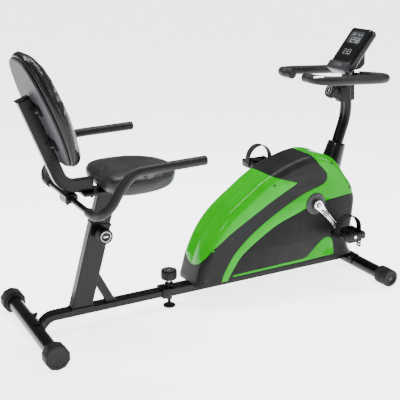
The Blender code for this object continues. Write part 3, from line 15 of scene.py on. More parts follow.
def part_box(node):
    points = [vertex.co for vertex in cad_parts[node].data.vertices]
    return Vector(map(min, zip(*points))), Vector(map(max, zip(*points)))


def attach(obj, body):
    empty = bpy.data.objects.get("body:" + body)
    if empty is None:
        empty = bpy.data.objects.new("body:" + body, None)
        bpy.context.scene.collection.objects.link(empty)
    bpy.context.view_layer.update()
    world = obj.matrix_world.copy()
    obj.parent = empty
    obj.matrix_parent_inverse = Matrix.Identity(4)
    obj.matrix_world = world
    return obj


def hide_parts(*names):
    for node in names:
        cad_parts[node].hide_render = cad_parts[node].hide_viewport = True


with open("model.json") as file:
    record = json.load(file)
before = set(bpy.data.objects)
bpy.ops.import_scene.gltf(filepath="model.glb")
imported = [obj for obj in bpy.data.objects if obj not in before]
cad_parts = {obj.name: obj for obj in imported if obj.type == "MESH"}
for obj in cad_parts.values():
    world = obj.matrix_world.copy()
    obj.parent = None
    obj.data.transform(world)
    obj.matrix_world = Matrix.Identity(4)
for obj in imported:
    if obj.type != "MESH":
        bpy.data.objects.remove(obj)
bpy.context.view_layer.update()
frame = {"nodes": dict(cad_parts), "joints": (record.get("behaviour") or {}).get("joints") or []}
JOINTS = {joint["name"]: joint for joint in frame["joints"]}


def joint_place(name):
    return Vector(JOINTS[name]["pos_m"])


# ------------------------------------------------------------ main sizes ----
WHEELBASE = 1.395
FRONT_AXIS = joint_place("left_wheel_spin") * Vector((1, 0, 1))
CRANK = joint_place("crank_spin") * Vector((1, 0, 1))
REAR_X = FRONT_AXIS.x - WHEELBASE
SEAT_UP = Vector(JOINTS["seat_height_slide"]["axis"])
SEAT_LEAN = atan2(SEAT_UP.x, SEAT_UP.z)
KNOB_AXIS = Vector(JOINTS["resistance_turn"]["axis"])
CONSOLE_IN = Vector(JOINTS["console_key_press"]["axis"])
CONSOLE_UP = Vector((-CONSOLE_IN.z, 0, CONSOLE_IN.x))
BACK_LEAN = radians(21.0)
BACK_UP = Vector((-sin(BACK_LEAN), 0, cos(BACK_LEAN)))
BACK_OUT = Vector((cos(BACK_LEAN), 0, sin(BACK_LEAN)))
POST_LEAN = radians(18.3)
POST_UP = Vector((sin(POST_LEAN), 0, cos(POST_LEAN)))
SIDES = ((-1, "right"), (1, "left"))

REAR_AXIS_Z = 0.0414        # heights above the floor
RAIL_MID = 0.0652
RAIL_TOP = 0.0812
SEAT_TUBE_FOOT_X = 0.1745   # distances from the rear stabiliser's axis
RAIL_REAR_X = 0.498
RAIL_KNOB_X = 0.534
HANDLE_X = 0.1547
BACK_TUBE_TOP_Z = 0.843
CRANK_LENGTH = 0.165
POST_FOOT_X = 0.124         # the post's foot, forward of the crank
POST_FOOT_Z = 0.446
POST_BEND_Z = 0.668
POST_TOP_Z = 0.8005
POST_TOP_LEAN = radians(-5.0)
BAR_FORWARD = 0.197         # the handlebar's clamp, forward of the crank
BAR_REARWARD = 0.041        # the handlebar's curled ends, behind the crank


def along(x):
    """World X of a distance from the rear stabiliser's axis."""
    return x + REAR_X


# -------------------------------------------------------------- materials ----
def colour(hex_code):
    """An sRGB hex value as linear RGBA."""
    parts = [int(hex_code[i:i + 2], 16) / 255 for i in (1, 3, 5)]
    return (*[c / 12.92 if c <= 0.04045 else ((c + 0.055) / 1.055) ** 2.4 for c in parts], 1.0)


def add(tree, kind, values=None, links=None, **settings):
    """Adds a node, sets it and its inputs, and links other nodes' outputs to it."""
    node = tree.nodes.new(kind)
    for name, value in settings.items():
        setattr(node, name, value)
    for name, value in (values or {}).items():
        node.inputs[name].default_value = value
    for name, (source, output) in (links or {}).items():
        tree.links.new(source.outputs[output], node.inputs[name])
    return node


def new_material(name, **values):
    material = bpy.data.materials.new(name)
    material.use_nodes = True
    tree = material.node_tree
    shader = tree.nodes["Principled BSDF"]
    for key, value in values.items():
        shader.inputs[key.replace("_", " ")].default_value = value
    return material, tree, shader


def mottle(tree, shader, low, high, size, rough, detail=3.0):
    """Colour and roughness that drift between two values over a real size in metres."""
    place = add(tree, "ShaderNodeTexCoord")
    noise = add(tree, "ShaderNodeTexNoise", {"Scale": 1 / size, "Detail": detail},
                {"Vector": (place, "Object")})
    ramp = add(tree, "ShaderNodeValToRGB", links={"Fac": (noise, "Fac")})
    ramp.color_ramp.elements[0].position = 0.35
    ramp.color_ramp.elements[0].color = colour(low)
    ramp.color_ramp.elements[1].position = 0.65
    ramp.color_ramp.elements[1].color = colour(high)
    tree.links.new(ramp.outputs["Color"], shader.inputs["Base Color"])
    span = add(tree, "ShaderNodeMapRange", {"To Min": rough[0], "To Max": rough[1]},
               {"Value": (noise, "Fac")})
    tree.links.new(span.outputs["Result"], shader.inputs["Roughness"])
    return place


def grain(tree, shader, place, size, depth, strength=0.5):
    """A fine surface texture of a real grain size and depth, in metres."""
    noise = add(tree, "ShaderNodeTexNoise", {"Scale": 1 / size, "Detail": 2.0}, {"Vector": (place, "Object")})
    bump = add(tree, "ShaderNodeBump", {"Strength": strength, "Distance": depth}, {"Height": (noise, "Fac")})
    tree.links.new(bump.outputs["Normal"], shader.inputs["Normal"])


def powder_coat():
    """Baked polyester powder on steel: deep gloss black with a faint orange peel."""
    material, tree, shader = new_material("powder_coated_steel", IOR=1.26)
    place = mottle(tree, shader, "#070708", "#0d0d0e", 0.030, (0.20, 0.28))
    grain(tree, shader, place, 0.0022, 0.00010, 0.3)
    return material


def satin_abs():
    """Moulded ABS with a spark-eroded grain: charcoal that scatters a soft highlight."""
    material, tree, shader = new_material("charcoal_satin_abs", IOR=1.18)
    place = mottle(tree, shader, "#161617", "#1c1c1d", 0.045, (0.34, 0.42))
    grain(tree, shader, place, 0.0012, 0.00006, 0.4)
    return material


def gloss_abs():
    """Moulded ABS under clear lacquer: wet-looking lime green with tight reflections."""
    material, tree, shader = new_material("lime_gloss_abs", IOR=1.22)
    place = mottle(tree, shader, "#0c8a00", "#109200", 0.080, (0.12, 0.17))
    grain(tree, shader, place, 0.0060, 0.00008, 0.15)
    return material


def foam_rubber():
    """Closed-cell nitrile foam: matt grey-black skin with tiny open pores."""
    material, tree, shader = new_material("nitrile_foam", IOR=1.25)
    place = mottle(tree, shader, "#151517", "#1e1e20", 0.004, (0.42, 0.56))
    cells = add(tree, "ShaderNodeTexVoronoi", {"Scale": 1 / 0.0014}, {"Vector": (place, "Object")})
    bump = add(tree, "ShaderNodeBump", {"Strength": 0.35, "Distance": 0.0002},
               {"Height": (cells, "Distance")})
    tree.links.new(bump.outputs["Normal"], shader.inputs["Normal"])
    return material


def leatherette(name, low, high, rough):
    """Calendered vinyl on knit: pebbled grain of about two millimetres, soft gloss."""
    material, tree, shader = new_material(name, IOR=1.30)
    place = mottle(tree, shader, low, high, 0.060, rough)
    pebbles = add(tree, "ShaderNodeTexVoronoi", {"Scale": 1 / 0.0024}, {"Vector": (place, "Object")},
                  feature="SMOOTH_F1")
    folds = add(tree, "ShaderNodeTexNoise", {"Scale": 1 / 0.035, "Detail": 3.0},
                {"Vector": (place, "Object")})
    fine = add(tree, "ShaderNodeBump", {"Strength": 0.35, "Distance": 0.0003},
               {"Height": (pebbles, "Distance")})
    bump = add(tree, "ShaderNodeBump", {"Strength": 0.25, "Distance": 0.003},
               {"Height": (folds, "Fac"), "Normal": (fine, "Normal")})
    tree.links.new(bump.outputs["Normal"], shader.inputs["Normal"])
    return material


def textured_board():
    """Thermoformed polypropylene: dull charcoal with a woven-looking emboss."""
    material, tree, shader = new_material("embossed_polypropylene", IOR=1.32)
    place = mottle(tree, shader, "#232327", "#2c2c31", 0.020, (0.50, 0.62))
    weave = add(tree, "ShaderNodeTexWave", {"Scale": 1 / 0.0120, "Distortion": 1.0},
                {"Vector": (place, "Object")})
    bump = add(tree, "ShaderNodeBump", {"Strength": 0.25, "Distance": 0.0003}, {"Height": (weave, "Fac")})
    tree.links.new(bump.outputs["Normal"], shader.inputs["Normal"])
    return material


def simple(name, low, high, size, rough, grain_size, depth, **values):
    material, tree, shader = new_material(name, **values)
    place = mottle(tree, shader, low, high, size, rough)
    grain(tree, shader, place, grain_size, depth)
    return material


def brushed(name, low, high, rough, **values):
    """Metal worked along one direction: fine scratches stretched along X."""
    material, tree, shader = new_material(name, Metallic=1.0, **values)
    place = mottle(tree, shader, low, high, 0.010, rough)
    stretch = add(tree, "ShaderNodeMapping", {"Scale": (120.0, 2500.0, 2500.0)},
                  {"Vector": (place, "Object")})
    lines = add(tree, "ShaderNodeTexNoise", {"Scale": 1.0, "Detail": 2.0}, {"Vector": (stretch, "Vector")})
    bump = add(tree, "ShaderNodeBump", {"Strength": 0.12, "Distance": 0.0001}, {"Height": (lines, "Fac")})
    tree.links.new(bump.outputs["Normal"], shader.inputs["Normal"])
    return material


POWDER_COAT = powder_coat()
SATIN_ABS = satin_abs()
GREEN_ABS = gloss_abs()
FOAM = foam_rubber()
# Seat and back are one black vinyl; the seat's lighter grey is painted sheen from the light above, the back's
# near-black its own colour.
SEAT_VINYL_SHEEN = leatherette("seat_leatherette_sheen", "#1b1b1c", "#252526", (0.36, 0.46))
BACK_VINYL = leatherette("back_leatherette", "#0c0c0e", "#131315", (0.28, 0.38))
# Twisted polyester thread: dull dark grey, a little lighter than the vinyl it holds.
THREAD = simple("polyester_thread", "#4a4a4c", "#5c5c5e", 0.002, (0.7, 0.8), 0.0008, 0.0001)
BOARD = textured_board()
# Glass-filled nylon and polypropylene mouldings: dull black with a fine sand grain.
NYLON = simple("glass_filled_nylon", "#0d0d0e", "#141415", 0.010, (0.40, 0.52), 0.0010, 0.00008, IOR=1.24)
GREY_PP = simple("grey_polypropylene", "#29292c", "#343437", 0.012, (0.45, 0.58), 0.0012, 0.00008, IOR=1.35)
# The console's lower lip, in the same plastic: a slate grey that sets it off from the gloss.
LIP_PP = simple("slate_polypropylene", "#232327", "#2c2c30", 0.012, (0.42, 0.52), 0.0012, 0.00008, IOR=1.2)
# Polished ABS: near-black, mirroring the lights in a soft smear.
GLOSS_BLACK = simple("gloss_black_abs", "#0b0b0c", "#111112", 0.030, (0.14, 0.22), 0.0060, 0.00006, IOR=1.32)
# Vulcanised rubber: bloomed black, nearly no highlight.
RUBBER = simple("vulcanised_rubber", "#0f0f10", "#181819", 0.015, (0.60, 0.75), 0.0016, 0.00012, IOR=1.3)
# Ribbed belt rubber: flat black, duller still from powdery wear.
BELT_RUBBER = simple("ribbed_belt_rubber", "#141414", "#1d1d1d", 0.006, (0.65, 0.8), 0.0020, 0.0002)
# Polished chrome plate: bright and sharp, with only faint polishing lines.
CHROME = brushed("bright_chrome_plate", "#d8d8da", "#e6e6e8", (0.07, 0.13))
# Zinc-plated steel: pale grey metal with a blurred shine.
ZINC = brushed("zinc_plated_steel", "#8a8a8e", "#a2a2a6", (0.26, 0.36))
# Chemically blackened fasteners: dark metal with an oily half gloss.
BLACK_OXIDE = brushed("black_oxide_steel", "#2c2c2e", "#3a3a3c", (0.30, 0.42))
# Satin stainless steel of the hand sensors: light grey with drawn-out highlights.
SENSOR_STEEL = brushed("satin_stainless_steel", "#8e8e90", "#a4a4a6", (0.16, 0.24))
# Turned grey iron: dark, with broad dull turning marks.
CAST_IRON = brushed("turned_cast_iron", "#4c4c50", "#5e5e62", (0.38, 0.50))
# Unlit display glass: dark neutral grey and smooth.
LCD = simple("lcd_glass", "#26282a", "#2f3133", 0.030, (0.10, 0.16), 0.0040, 0.00001, IOR=1.35)
# Numerals of the display: mid grey, standing clear of the dark glass.
LCD_INK = simple("lcd_segment", "#7c8082", "#8b8f90", 0.004, (0.25, 0.35), 0.0020, 0.00001)
# Screen-printed strokes under the display: thin matt grey ink.
LEGEND = simple("grey_screen_print", "#8f8f8e", "#a2a2a0", 0.004, (0.45, 0.55), 0.0010, 0.00002)
# Hot-stamped foil on the knobs: silver that catches the light.
SILVER_PRINT = simple("silver_foil_print", "#b4b4b6", "#cacacc", 0.003, (0.25, 0.35), 0.0008, 0.00003,
                      Metallic=0.6)
# Reflective tape: saturated red, slightly glossy.
RED_MARK = simple("red_reflective_tape", "#a8231c", "#c23228", 0.004, (0.3, 0.4), 0.0010, 0.00004)
# Painted shade for gaps, seams and wells: near-black with no shine, standing in for the shadow inside them.
SHADE_PAINT = simple("painted_shade", "#070707", "#0b0b0b", 0.010, (0.7, 0.8), 0.0020, 0.0001)


# ---------------------------------------------------------- mesh helpers ----
def from_bmesh(bm):
    bmesh.ops.recalc_face_normals(bm, faces=bm.faces)
    mesh = bpy.data.meshes.new("shape")
    bm.to_mesh(mesh)
    bm.free()
    obj = bpy.data.objects.new("shape", mesh)
    bpy.context.scene.collection.objects.link(obj)
    return obj


def bake(obj):
    """The mesh that an object's modifiers or curve give, in world space."""
    bpy.context.view_layer.update()
    mesh = bpy.data.meshes.new_from_object(obj.evaluated_get(bpy.context.evaluated_depsgraph_get()))
    bm = bmesh.new()
    bm.from_mesh(mesh)
    bm.transform(obj.matrix_world)
    bmesh.ops.remove_doubles(bm, verts=bm.verts, dist=0.000005)
    bpy.data.objects.remove(obj, do_unlink=True)
    bpy.data.meshes.remove(mesh)
    return from_bmesh(bm)


def place_piece(obj, name, material, body, replaces=(), angle=35):
    """Names a finished piece, shades it, and hangs it on its body."""
    obj.name = name
    obj.data.name = name
    obj.data.materials.clear()
    obj.data.materials.append(material)
    obj.data.shade_smooth()
    obj.data.set_sharp_from_angle(angle=radians(angle))
    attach(obj, body)
    if replaces:
        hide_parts(*replaces)
    return obj


def soften(obj, width, segments=2, angle=30):
    bevel = obj.modifiers.new("edges", "BEVEL")
    bevel.width = width
    bevel.segments = segments
    bevel.limit_method = "ANGLE"
    bevel.angle_limit = radians(angle)
    return bake(obj)


def block(size, centre, turn=None, bevel=0.0, segments=3):
    """A box with rounded edges, turned by a matrix and put in place."""
    bm = bmesh.new()
    bmesh.ops.create_cube(bm, size=1.0)
    bmesh.ops.scale(bm, vec=Vector(size), verts=bm.verts)
    if bevel > 0:
        bmesh.ops.bevel(bm, geom=bm.edges[:], offset=bevel, segments=segments, profile=0.5,
                        affect="EDGES", clamp_overlap=True)
    if turn is not None:
        bmesh.ops.transform(bm, matrix=turn.to_4x4(), verts=bm.verts)
    bmesh.ops.translate(bm, vec=Vector(centre), verts=bm.verts)
    return from_bmesh(bm)


def leaning(angle):
    return Matrix.Rotation(angle, 3, "Y")


def facing(axis, roll=0.0):
    """A turn that takes +Z to an axis."""
    return Vector((0, 0, 1)).rotation_difference(Vector(axis)).to_matrix() @ Matrix.Rotation(roll, 3, "Z")


def lathe(profile, place, axis, steps=64, lobes=0, depth=0.0, lobe_from=0.0):
    """A profile of (radius, height) turned about an axis; lobes flute its outside."""
    bm = bmesh.new()
    rings = []
    widest = max(radius for radius, _ in profile)
    for radius, height in profile:
        ring = []
        for step in range(steps):
            a = 2 * pi * step / steps
            r = radius
            if lobes and radius > lobe_from * widest:
                r = radius - depth * (0.5 - 0.5 * cos(lobes * a)) ** 2
            ring.append(bm.verts.new((r * cos(a), r * sin(a), height)))
        rings.append(ring)
    for upper, lower in zip(rings, rings[1:]):
        for step in range(steps):
            after = (step + 1) % steps
            bm.faces.new((upper[step], upper[after], lower[after], lower[step]))
    bmesh.ops.remove_doubles(bm, verts=bm.verts, dist=0.000005)
    ends = [edge for edge in bm.edges if len(edge.link_faces) == 1]
    if ends:
        bmesh.ops.holes_fill(bm, edges=ends, sides=0)
    bmesh.ops.transform(bm, matrix=Matrix.Translation(Vector(place)) @ facing(axis).to_4x4(), verts=bm.verts)
    return from_bmesh(bm)


def spline(points, steps=8, closed=False):
    """Points on a smooth curve through the given ones."""
    places = [Vector(point) for point in points]
    if closed:
        places = places[-1:] + places + places[:2]
    else:
        places = [2 * places[0] - places[1]] + places + [2 * places[-1] - places[-2]]
    path = []
    for index in range(1, len(places) - 2):
        before, here, there, after = places[index - 1:index + 3]
        for step in range(steps):
            t = step / steps
            path.append(0.5 * (2 * here + (there - before) * t
                               + (2 * before - 5 * here + 4 * there - after) * t ** 2
                               + (3 * here - before - 3 * there + after) * t ** 3))
    if not closed:
        path.append(places[-2])
    return path


def sweep(path, section, caps=True, up=Vector((0, 1, 0))):
    """A section of (side, up) points carried along a path; sections may be one per place."""
    bm = bmesh.new()
    rings = []
    last = len(path) - 1
    for index, spot in enumerate(path):
        ahead = (path[min(index + 1, last)] - path[max(index - 1, 0)]).normalized()
        if index:
            side = (side_was - ahead * side_was.dot(ahead)).normalized()
        else:
            guide = up if abs(ahead.dot(up)) < 0.95 else Vector((0, 0, 1))
            side = ahead.cross(guide).normalized()
        lift = side.cross(ahead)
        side_was = side
        shape = section[index] if isinstance(section[0], list) else section
        rings.append([bm.verts.new(spot + side * x + lift * y) for x, y in shape])
    count = len(rings[0])
    for near, far in zip(rings, rings[1:]):
        for step in range(count):
            after = (step + 1) % count
            bm.faces.new((near[step], near[after], far[after], far[step]))
    if caps:
        bm.faces.new(rings[0])
        bm.faces.new(rings[-1][::-1])
    return from_bmesh(bm)


def circle(radius, sides=28):
    return [(radius * cos(2 * pi * i / sides), radius * sin(2 * pi * i / sides)) for i in range(sides)]


def rounded_bar(path, radius, nose=0.003, sides=28):
    """A round bar whose two ends are rounded over."""
    places, sections = [], []
    first = (path[0] - path[1]).normalized()
    final = (path[-1] - path[-2]).normalized()
    turns = [radians(a) for a in (90, 70, 45, 20, 0)]
    for a in turns:
        places.append(path[0] + first * nose * sin(a))
        sections.append(circle(radius - nose + nose * cos(a), sides))
    for place in path[1:-1]:
        places.append(place)
        sections.append(circle(radius, sides))
    for a in turns[::-1]:
        places.append(path[-1] + final * nose * sin(a))
        sections.append(circle(radius - nose + nose * cos(a), sides))
    return sweep(places, sections)


def prism(outline, y_low, y_high, grow=0.0):
    """A flat XZ outline made solid across the bike, its sides moved out by a small amount."""
    bm = bmesh.new()
    count = len(outline)
    turning = sum(outline[i - 1][0] * outline[i][1] - outline[i][0] * outline[i - 1][1] for i in range(count))
    outward = 1 if turning > 0 else -1
    spots = []
    for index, here in enumerate(outline):
        ways = []
        for a, b in ((outline[index - 1], here), (here, outline[(index + 1) % count])):
            way = Vector((b[0] - a[0], b[1] - a[1])).normalized()
            ways.append(Vector((way.y, -way.x)) * outward)
        out = (ways[0] + ways[1]).normalized()
        spots.append(Vector(here) + out * grow / max(out.dot(ways[0]), 0.5))
    near = [bm.verts.new((spot.x, y_low, spot.y)) for spot in spots]
    far = [bm.verts.new((spot.x, y_high, spot.y)) for spot in spots]
    for step in range(count):
        after = (step + 1) % count
        bm.faces.new((near[step], near[after], far[after], far[step]))
    bm.faces.new(near)
    bm.faces.new(far[::-1])
    return from_bmesh(bm)


def plate(outlines, y_low, y_high, edge=0.0, edge_steps=4, grow=0.0):
    """Flat XZ outlines made solid across the bike, with rounded edges."""
    curve = bpy.data.curves.new("outline", "CURVE")
    curve.dimensions = "2D"
    curve.fill_mode = "BOTH"
    curve.extrude = (y_high - y_low) / 2 - edge
    curve.bevel_depth = edge
    curve.bevel_resolution = edge_steps
    curve.offset = grow - edge
    for outline in outlines:
        line = curve.splines.new("POLY")
        line.points.add(len(outline) - 1)
        for point, (x, z) in zip(line.points, outline):
            point.co = (x, z, 0.0, 1.0)
        line.use_cyclic_u = True
    obj = bpy.data.objects.new("outline", curve)
    obj.rotation_euler = (pi / 2, 0, 0)
    obj.location = (0, (y_low + y_high) / 2, 0)
    bpy.context.scene.collection.objects.link(obj)
    return bake(obj)


def is_closed(obj):
    bm = bmesh.new()
    bm.from_mesh(obj.data)
    closed = all(len(edge.link_faces) == 2 for edge in bm.edges)
    bm.free()
    return closed


def boolean(obj, tool, how):
    step = obj.modifiers.new("step", "BOOLEAN")
    step.operation = how
    step.solver = "MANIFOLD" if is_closed(obj) and is_closed(tool) else "EXACT"
    step.object = tool
    result = bake(obj)
    bpy.data.objects.remove(tool, do_unlink=True)
    return result


def cut(obj, *tools):
    for tool in tools:
        obj = boolean(obj, tool, "DIFFERENCE")
    return obj


def common(obj, tool):
    return boolean(obj, tool, "INTERSECT")


def twin(obj):
    copy = bpy.data.objects.new("shape", obj.data.copy())
    bpy.context.scene.collection.objects.link(copy)
    return copy


def merged(*objs):
    """Several loose shapes as one mesh object."""
    bm = bmesh.new()
    for obj in objs:
        bm.from_mesh(obj.data)
        bpy.data.objects.remove(obj, do_unlink=True)
    mesh = bpy.data.meshes.new("shape")
    bm.to_mesh(mesh)
    bm.free()
    result = bpy.data.objects.new("shape", mesh)
    bpy.context.scene.collection.objects.link(result)
    return result


def arc(centre, radius, start, end, steps):
    turn = [start + (end - start) * step / steps for step in range(steps + 1)]
    return [(centre[0] + radius * cos(a), centre[1] + radius * sin(a)) for a in turn]


# --------------------------------------------------------------- fasteners ----
def hex_bolt(name, place, axis, body, size=0.0065):
    """A hexagon head on a washer, with a domed top."""
    washer = lathe([(0.0, 0.0016), (size * 1.5, 0.0016), (size * 1.6, 0.0008), (size * 1.6, 0.0), (0.0, 0.0)],
                   place, axis, 32)
    head = lathe([(0.0, 0.0070), (size * 0.82, 0.0070), (size, 0.0060), (size, 0.0014), (0.0, 0.0014)],
                 place, axis, 6)
    return place_piece(merged(washer, head), name, BLACK_OXIDE, body)


def dome_nut(name, place, axis, body, size=0.0075):
    """A cap nut: hexagon below, dome above, on a wide washer."""
    dome = [(size * 0.8 * cos(a),
             0.0055 + size * 0.8 * sin(a)) for a in [radians(d) for d in range(90, -1, -15)]]
    nut = lathe([(0.0, 0.0058), (size * 0.9, 0.0058), (size, 0.0050), (size, 0.0012), (0.0, 0.0012)], place,
                axis, 6)
    washer = lathe([(0.0, 0.0015), (size * 1.45, 0.0015), (size * 1.5, 0.0), (0.0, 0.0)], place, axis, 32)
    return place_piece(merged(lathe(dome, place, axis, 24), nut, washer), name, BLACK_OXIDE, body)


def recessed_screw(name, place, axis, body, size=0.0042):
    """A sunk screw hole, seen as a shallow well painted near-black as its shade."""
    well = lathe([(size + 0.0012, 0.0004), (size, 0.0007), (size, 0.0001), (size - 0.0006, -0.0006),
                  (0.0, -0.0006)],
                 place, axis, 24)
    return place_piece(well, name, SHADE_PAINT, body)


# ------------------------------------------------------------ floor pieces ----
def stabiliser(node, body):
    low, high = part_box(node)
    axis = (low + high) / 2
    radius = (high.z - low.z) / 2
    outer = lathe([(radius - 0.002, 0.0), (radius, 0.0006), (radius, high.y - low.y - 0.0006),
                   (radius - 0.002, high.y - low.y)], (axis.x, low.y, axis.z), (0, 1, 0), 64)
    place_piece(outer, node + "_tube", POWDER_COAT, body, [node])


def rear_cap(side, name):
    """Ten-sided moulded end cap with a flat foot and a dished face."""
    node = "rear_cap_" + name
    low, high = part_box(node)
    axis = Vector((along(0.0), 0, REAR_AXIS_Z))
    radius = 0.0435
    length = high.y - low.y
    foot = axis + Vector((0, low.y if side > 0 else high.y, 0))
    body = lathe([(0.0, length - 0.0015), (radius - 0.012, length - 0.0015), (radius - 0.010, length),
                  (radius, length),
                  (radius, 0.0), (0.0275, 0.0), (0.0275, 0.004), (0.0, 0.004)], foot, (0, side, 0), 10)
    body.data.transform(Matrix.Translation(foot) @ Matrix.Rotation(pi / 10, 4,
                                                                   "Y") @ Matrix.Translation(-foot))
    body = soften(body, 0.0022, 3, 25)
    place_piece(body, node + "_moulding", RUBBER, "rear_slide", [node], 28)
    lip = lathe([(0.0320, 0.0), (0.0335, -0.0015), (0.0335, -0.0045), (0.0300, -0.0060), (0.0272, -0.0060),
                 (0.0272, 0.0)], foot, (0, side, 0), 48)
    place_piece(lip, node + "_lip", RUBBER, "rear_slide")


def front_cap(side, name):
    """Fixed ribbed cap and the ribbed transport wheel outside it."""
    for node, body in (("front_cap_" + name, "front_frame"),
                       ("transport_wheel_" + name, name + "_transport_wheel")):
        low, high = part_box(node)
        near, far = (low.y, high.y) if side > 0 else (high.y, low.y)
        start = Vector((FRONT_AXIS.x, near, FRONT_AXIS.z))
        radius = 0.0361 if "cap" in node else 0.0355
        length = abs(far - near)
        if "cap" in node:
            length -= 0.024
        profile = [(0.0085, length - 0.004), (0.020, length - 0.004), (0.022, length),
                   (radius - 0.003, length),
                   (radius, length - 0.003), (radius, 0.003), (radius - 0.003, 0.0), (0.0268, 0.0),
                   (0.0268, 0.003),
                   (0.0085, 0.003)]
        piece = lathe(profile + profile[:1], start, (0, side, 0), 144, 24, 0.0016, 0.93)
        place_piece(piece, node + "_ribbed", RUBBER, body, [node], 40)
        if "wheel" in node:
            end = start + Vector((0, side * (length - 0.0042), 0))
            hub = lathe([(0.0, 0.0026), (0.0050, 0.0026), (0.0082, 0.0010), (0.0084, 0.0), (0.0, 0.0)], end,
                        (0, side, 0), 32)
            place_piece(hub, "wheel_screw_" + name, BLACK_OXIDE, body)


def saddle_bolts():
    """Two cap nuts on each saddle plate."""
    for tag, axis, lean, body in (("rear", Vector((along(0.0), 0, REAR_AXIS_Z)), radians(44), "rear_slide"),
                                  ("front", FRONT_AXIS, radians(142), "front_frame")):
        out = Vector((cos(lean), 0, sin(lean)))
        for y, name in ((-0.040, "right"), (0.040, "left")):
            dome_nut(tag + "_saddle_nut_" + name, axis + out * 0.0298 + Vector((0, y, 0)), out, body)


# --------------------------------------------------------------- frames ----
def frame_finishes():
    """Welded frames keep their shape; they get the powder coat and small fittings."""
    for node in ("rear_frame", "seat_frame", "main_frame", "side_handle_clamp"):
        obj = frame["nodes"][node]
        obj.data.shade_smooth()
        obj.data.set_sharp_from_angle(angle=radians(40))
        obj.data.materials.clear()
        obj.data.materials.append(POWDER_COAT)
    weld_bead("seat_tube_weld", [(-0.041, -0.020), (0.041, -0.020), (0.041, 0.020), (-0.041, 0.020)],
              Vector((along(SEAT_TUBE_FOOT_X + 0.005), 0, 0.0785)), "rear_slide")
    weld_bead("brace_weld", [(-0.018, -0.016), (0.018, -0.016), (0.018, 0.016), (-0.018, 0.016)],
              Vector((along(0.292), 0, 0.0785)), "rear_slide")
    mouth = Vector((along(RAIL_REAR_X), 0, RAIL_MID))
    sleeve = cut(block((0.030, 0.0575, 0.0375), mouth + Vector((0.0125, 0, 0)), bevel=0.002),
                 block((0.080, 0.0522, 0.0322), mouth, bevel=0.0028))
    inner = cut(block((0.0025, 0.0560, 0.0360), mouth - Vector((0.0018, 0, 0)), bevel=0.001),
                block((0.050, 0.0460, 0.0260), mouth))
    place_piece(merged(sleeve, inner), "rail_mouth_bush", NYLON, "front_frame")
    top = seat_axis(0.330)
    collar = cut(block((0.0785, 0.0405, 0.008), top - SEAT_UP * 0.0005, leaning(SEAT_LEAN), 0.002),
                 block((0.0705, 0.0325, 0.100), top, leaning(SEAT_LEAN)),
                 block((0.0763, 0.0383, 0.060), top - SEAT_UP * 0.0303, leaning(SEAT_LEAN)))
    place_piece(collar, "seat_tube_collar", NYLON, "rear_slide")
    tip = Vector((along(0.014), 0, BACK_TUBE_TOP_Z))
    plug = block((0.0495, 0.0335, 0.004), tip + BACK_UP * 0.0022, leaning(-BACK_LEAN), 0.0014)
    place_piece(plug, "back_tube_plug", POWDER_COAT, "seat_carriage")
    for x in (0.226, 0.300, 0.374):
        for y in (-0.034, 0.034):
            hex_bolt("seat_plate_bolt_%d_%s" % (round(x * 1000), "right" if y < 0 else "left"),
                     Vector((along(x), y, 0.4973)), (0, 0, -1), "seat_carriage", 0.0055)
    hex_bolt("seat_tube_stop_bolt", seat_axis(0.302) + Vector((0.0384, 0, 0.0107)),
             SEAT_UP.cross(Vector((0, 1, 0))) * -1, "rear_slide", 0.0050)
    for up in (-0.035, -0.163):
        for y, name in ((-0.048, "right"), (0.048, "left")):
            place = back_point(up, -0.0021, y)
            dome_nut("back_bracket_nut_%d_%s" % (round(-up * 1000), name), place, -BACK_OUT,
                     "seat_carriage", 0.0060)


def weld_bead(name, corners, centre, body):
    """A rippled fillet of weld round a tube's foot."""
    path = []
    for index, (x, y) in enumerate(corners):
        x2, y2 = corners[(index + 1) % 4]
        path += [centre + Vector((x + (x2 - x) * t / 12, y + (y2 - y) * t / 12, 0)) for t in range(12)]
    path.append(path[0])
    sections = [circle(0.0030 + 0.0006 * (index % 2), 10) for index in range(len(path))]
    place_piece(sweep(path, sections, caps=False, up=Vector((0, 0, 1))), name, POWDER_COAT, body, angle=60)


def seat_axis(distance, y=0.0):
    return Vector((along(SEAT_TUBE_FOOT_X), y, RAIL_MID)) + SEAT_UP * distance


def back_point(up, forward, y=0.0):
    """A point on the backrest: up the back tube from its mark, forward from its face."""
    top = Vector((along(0.01403), 0, BACK_TUBE_TOP_Z))
    return top - BACK_UP * 0.010 + BACK_UP * up + BACK_OUT * (forward + 0.023) + Vector((0, y, 0))


# --------------------------------------------------------------- cushions ----
SWELL = 0.009               # furthest a point of a cushion may swell


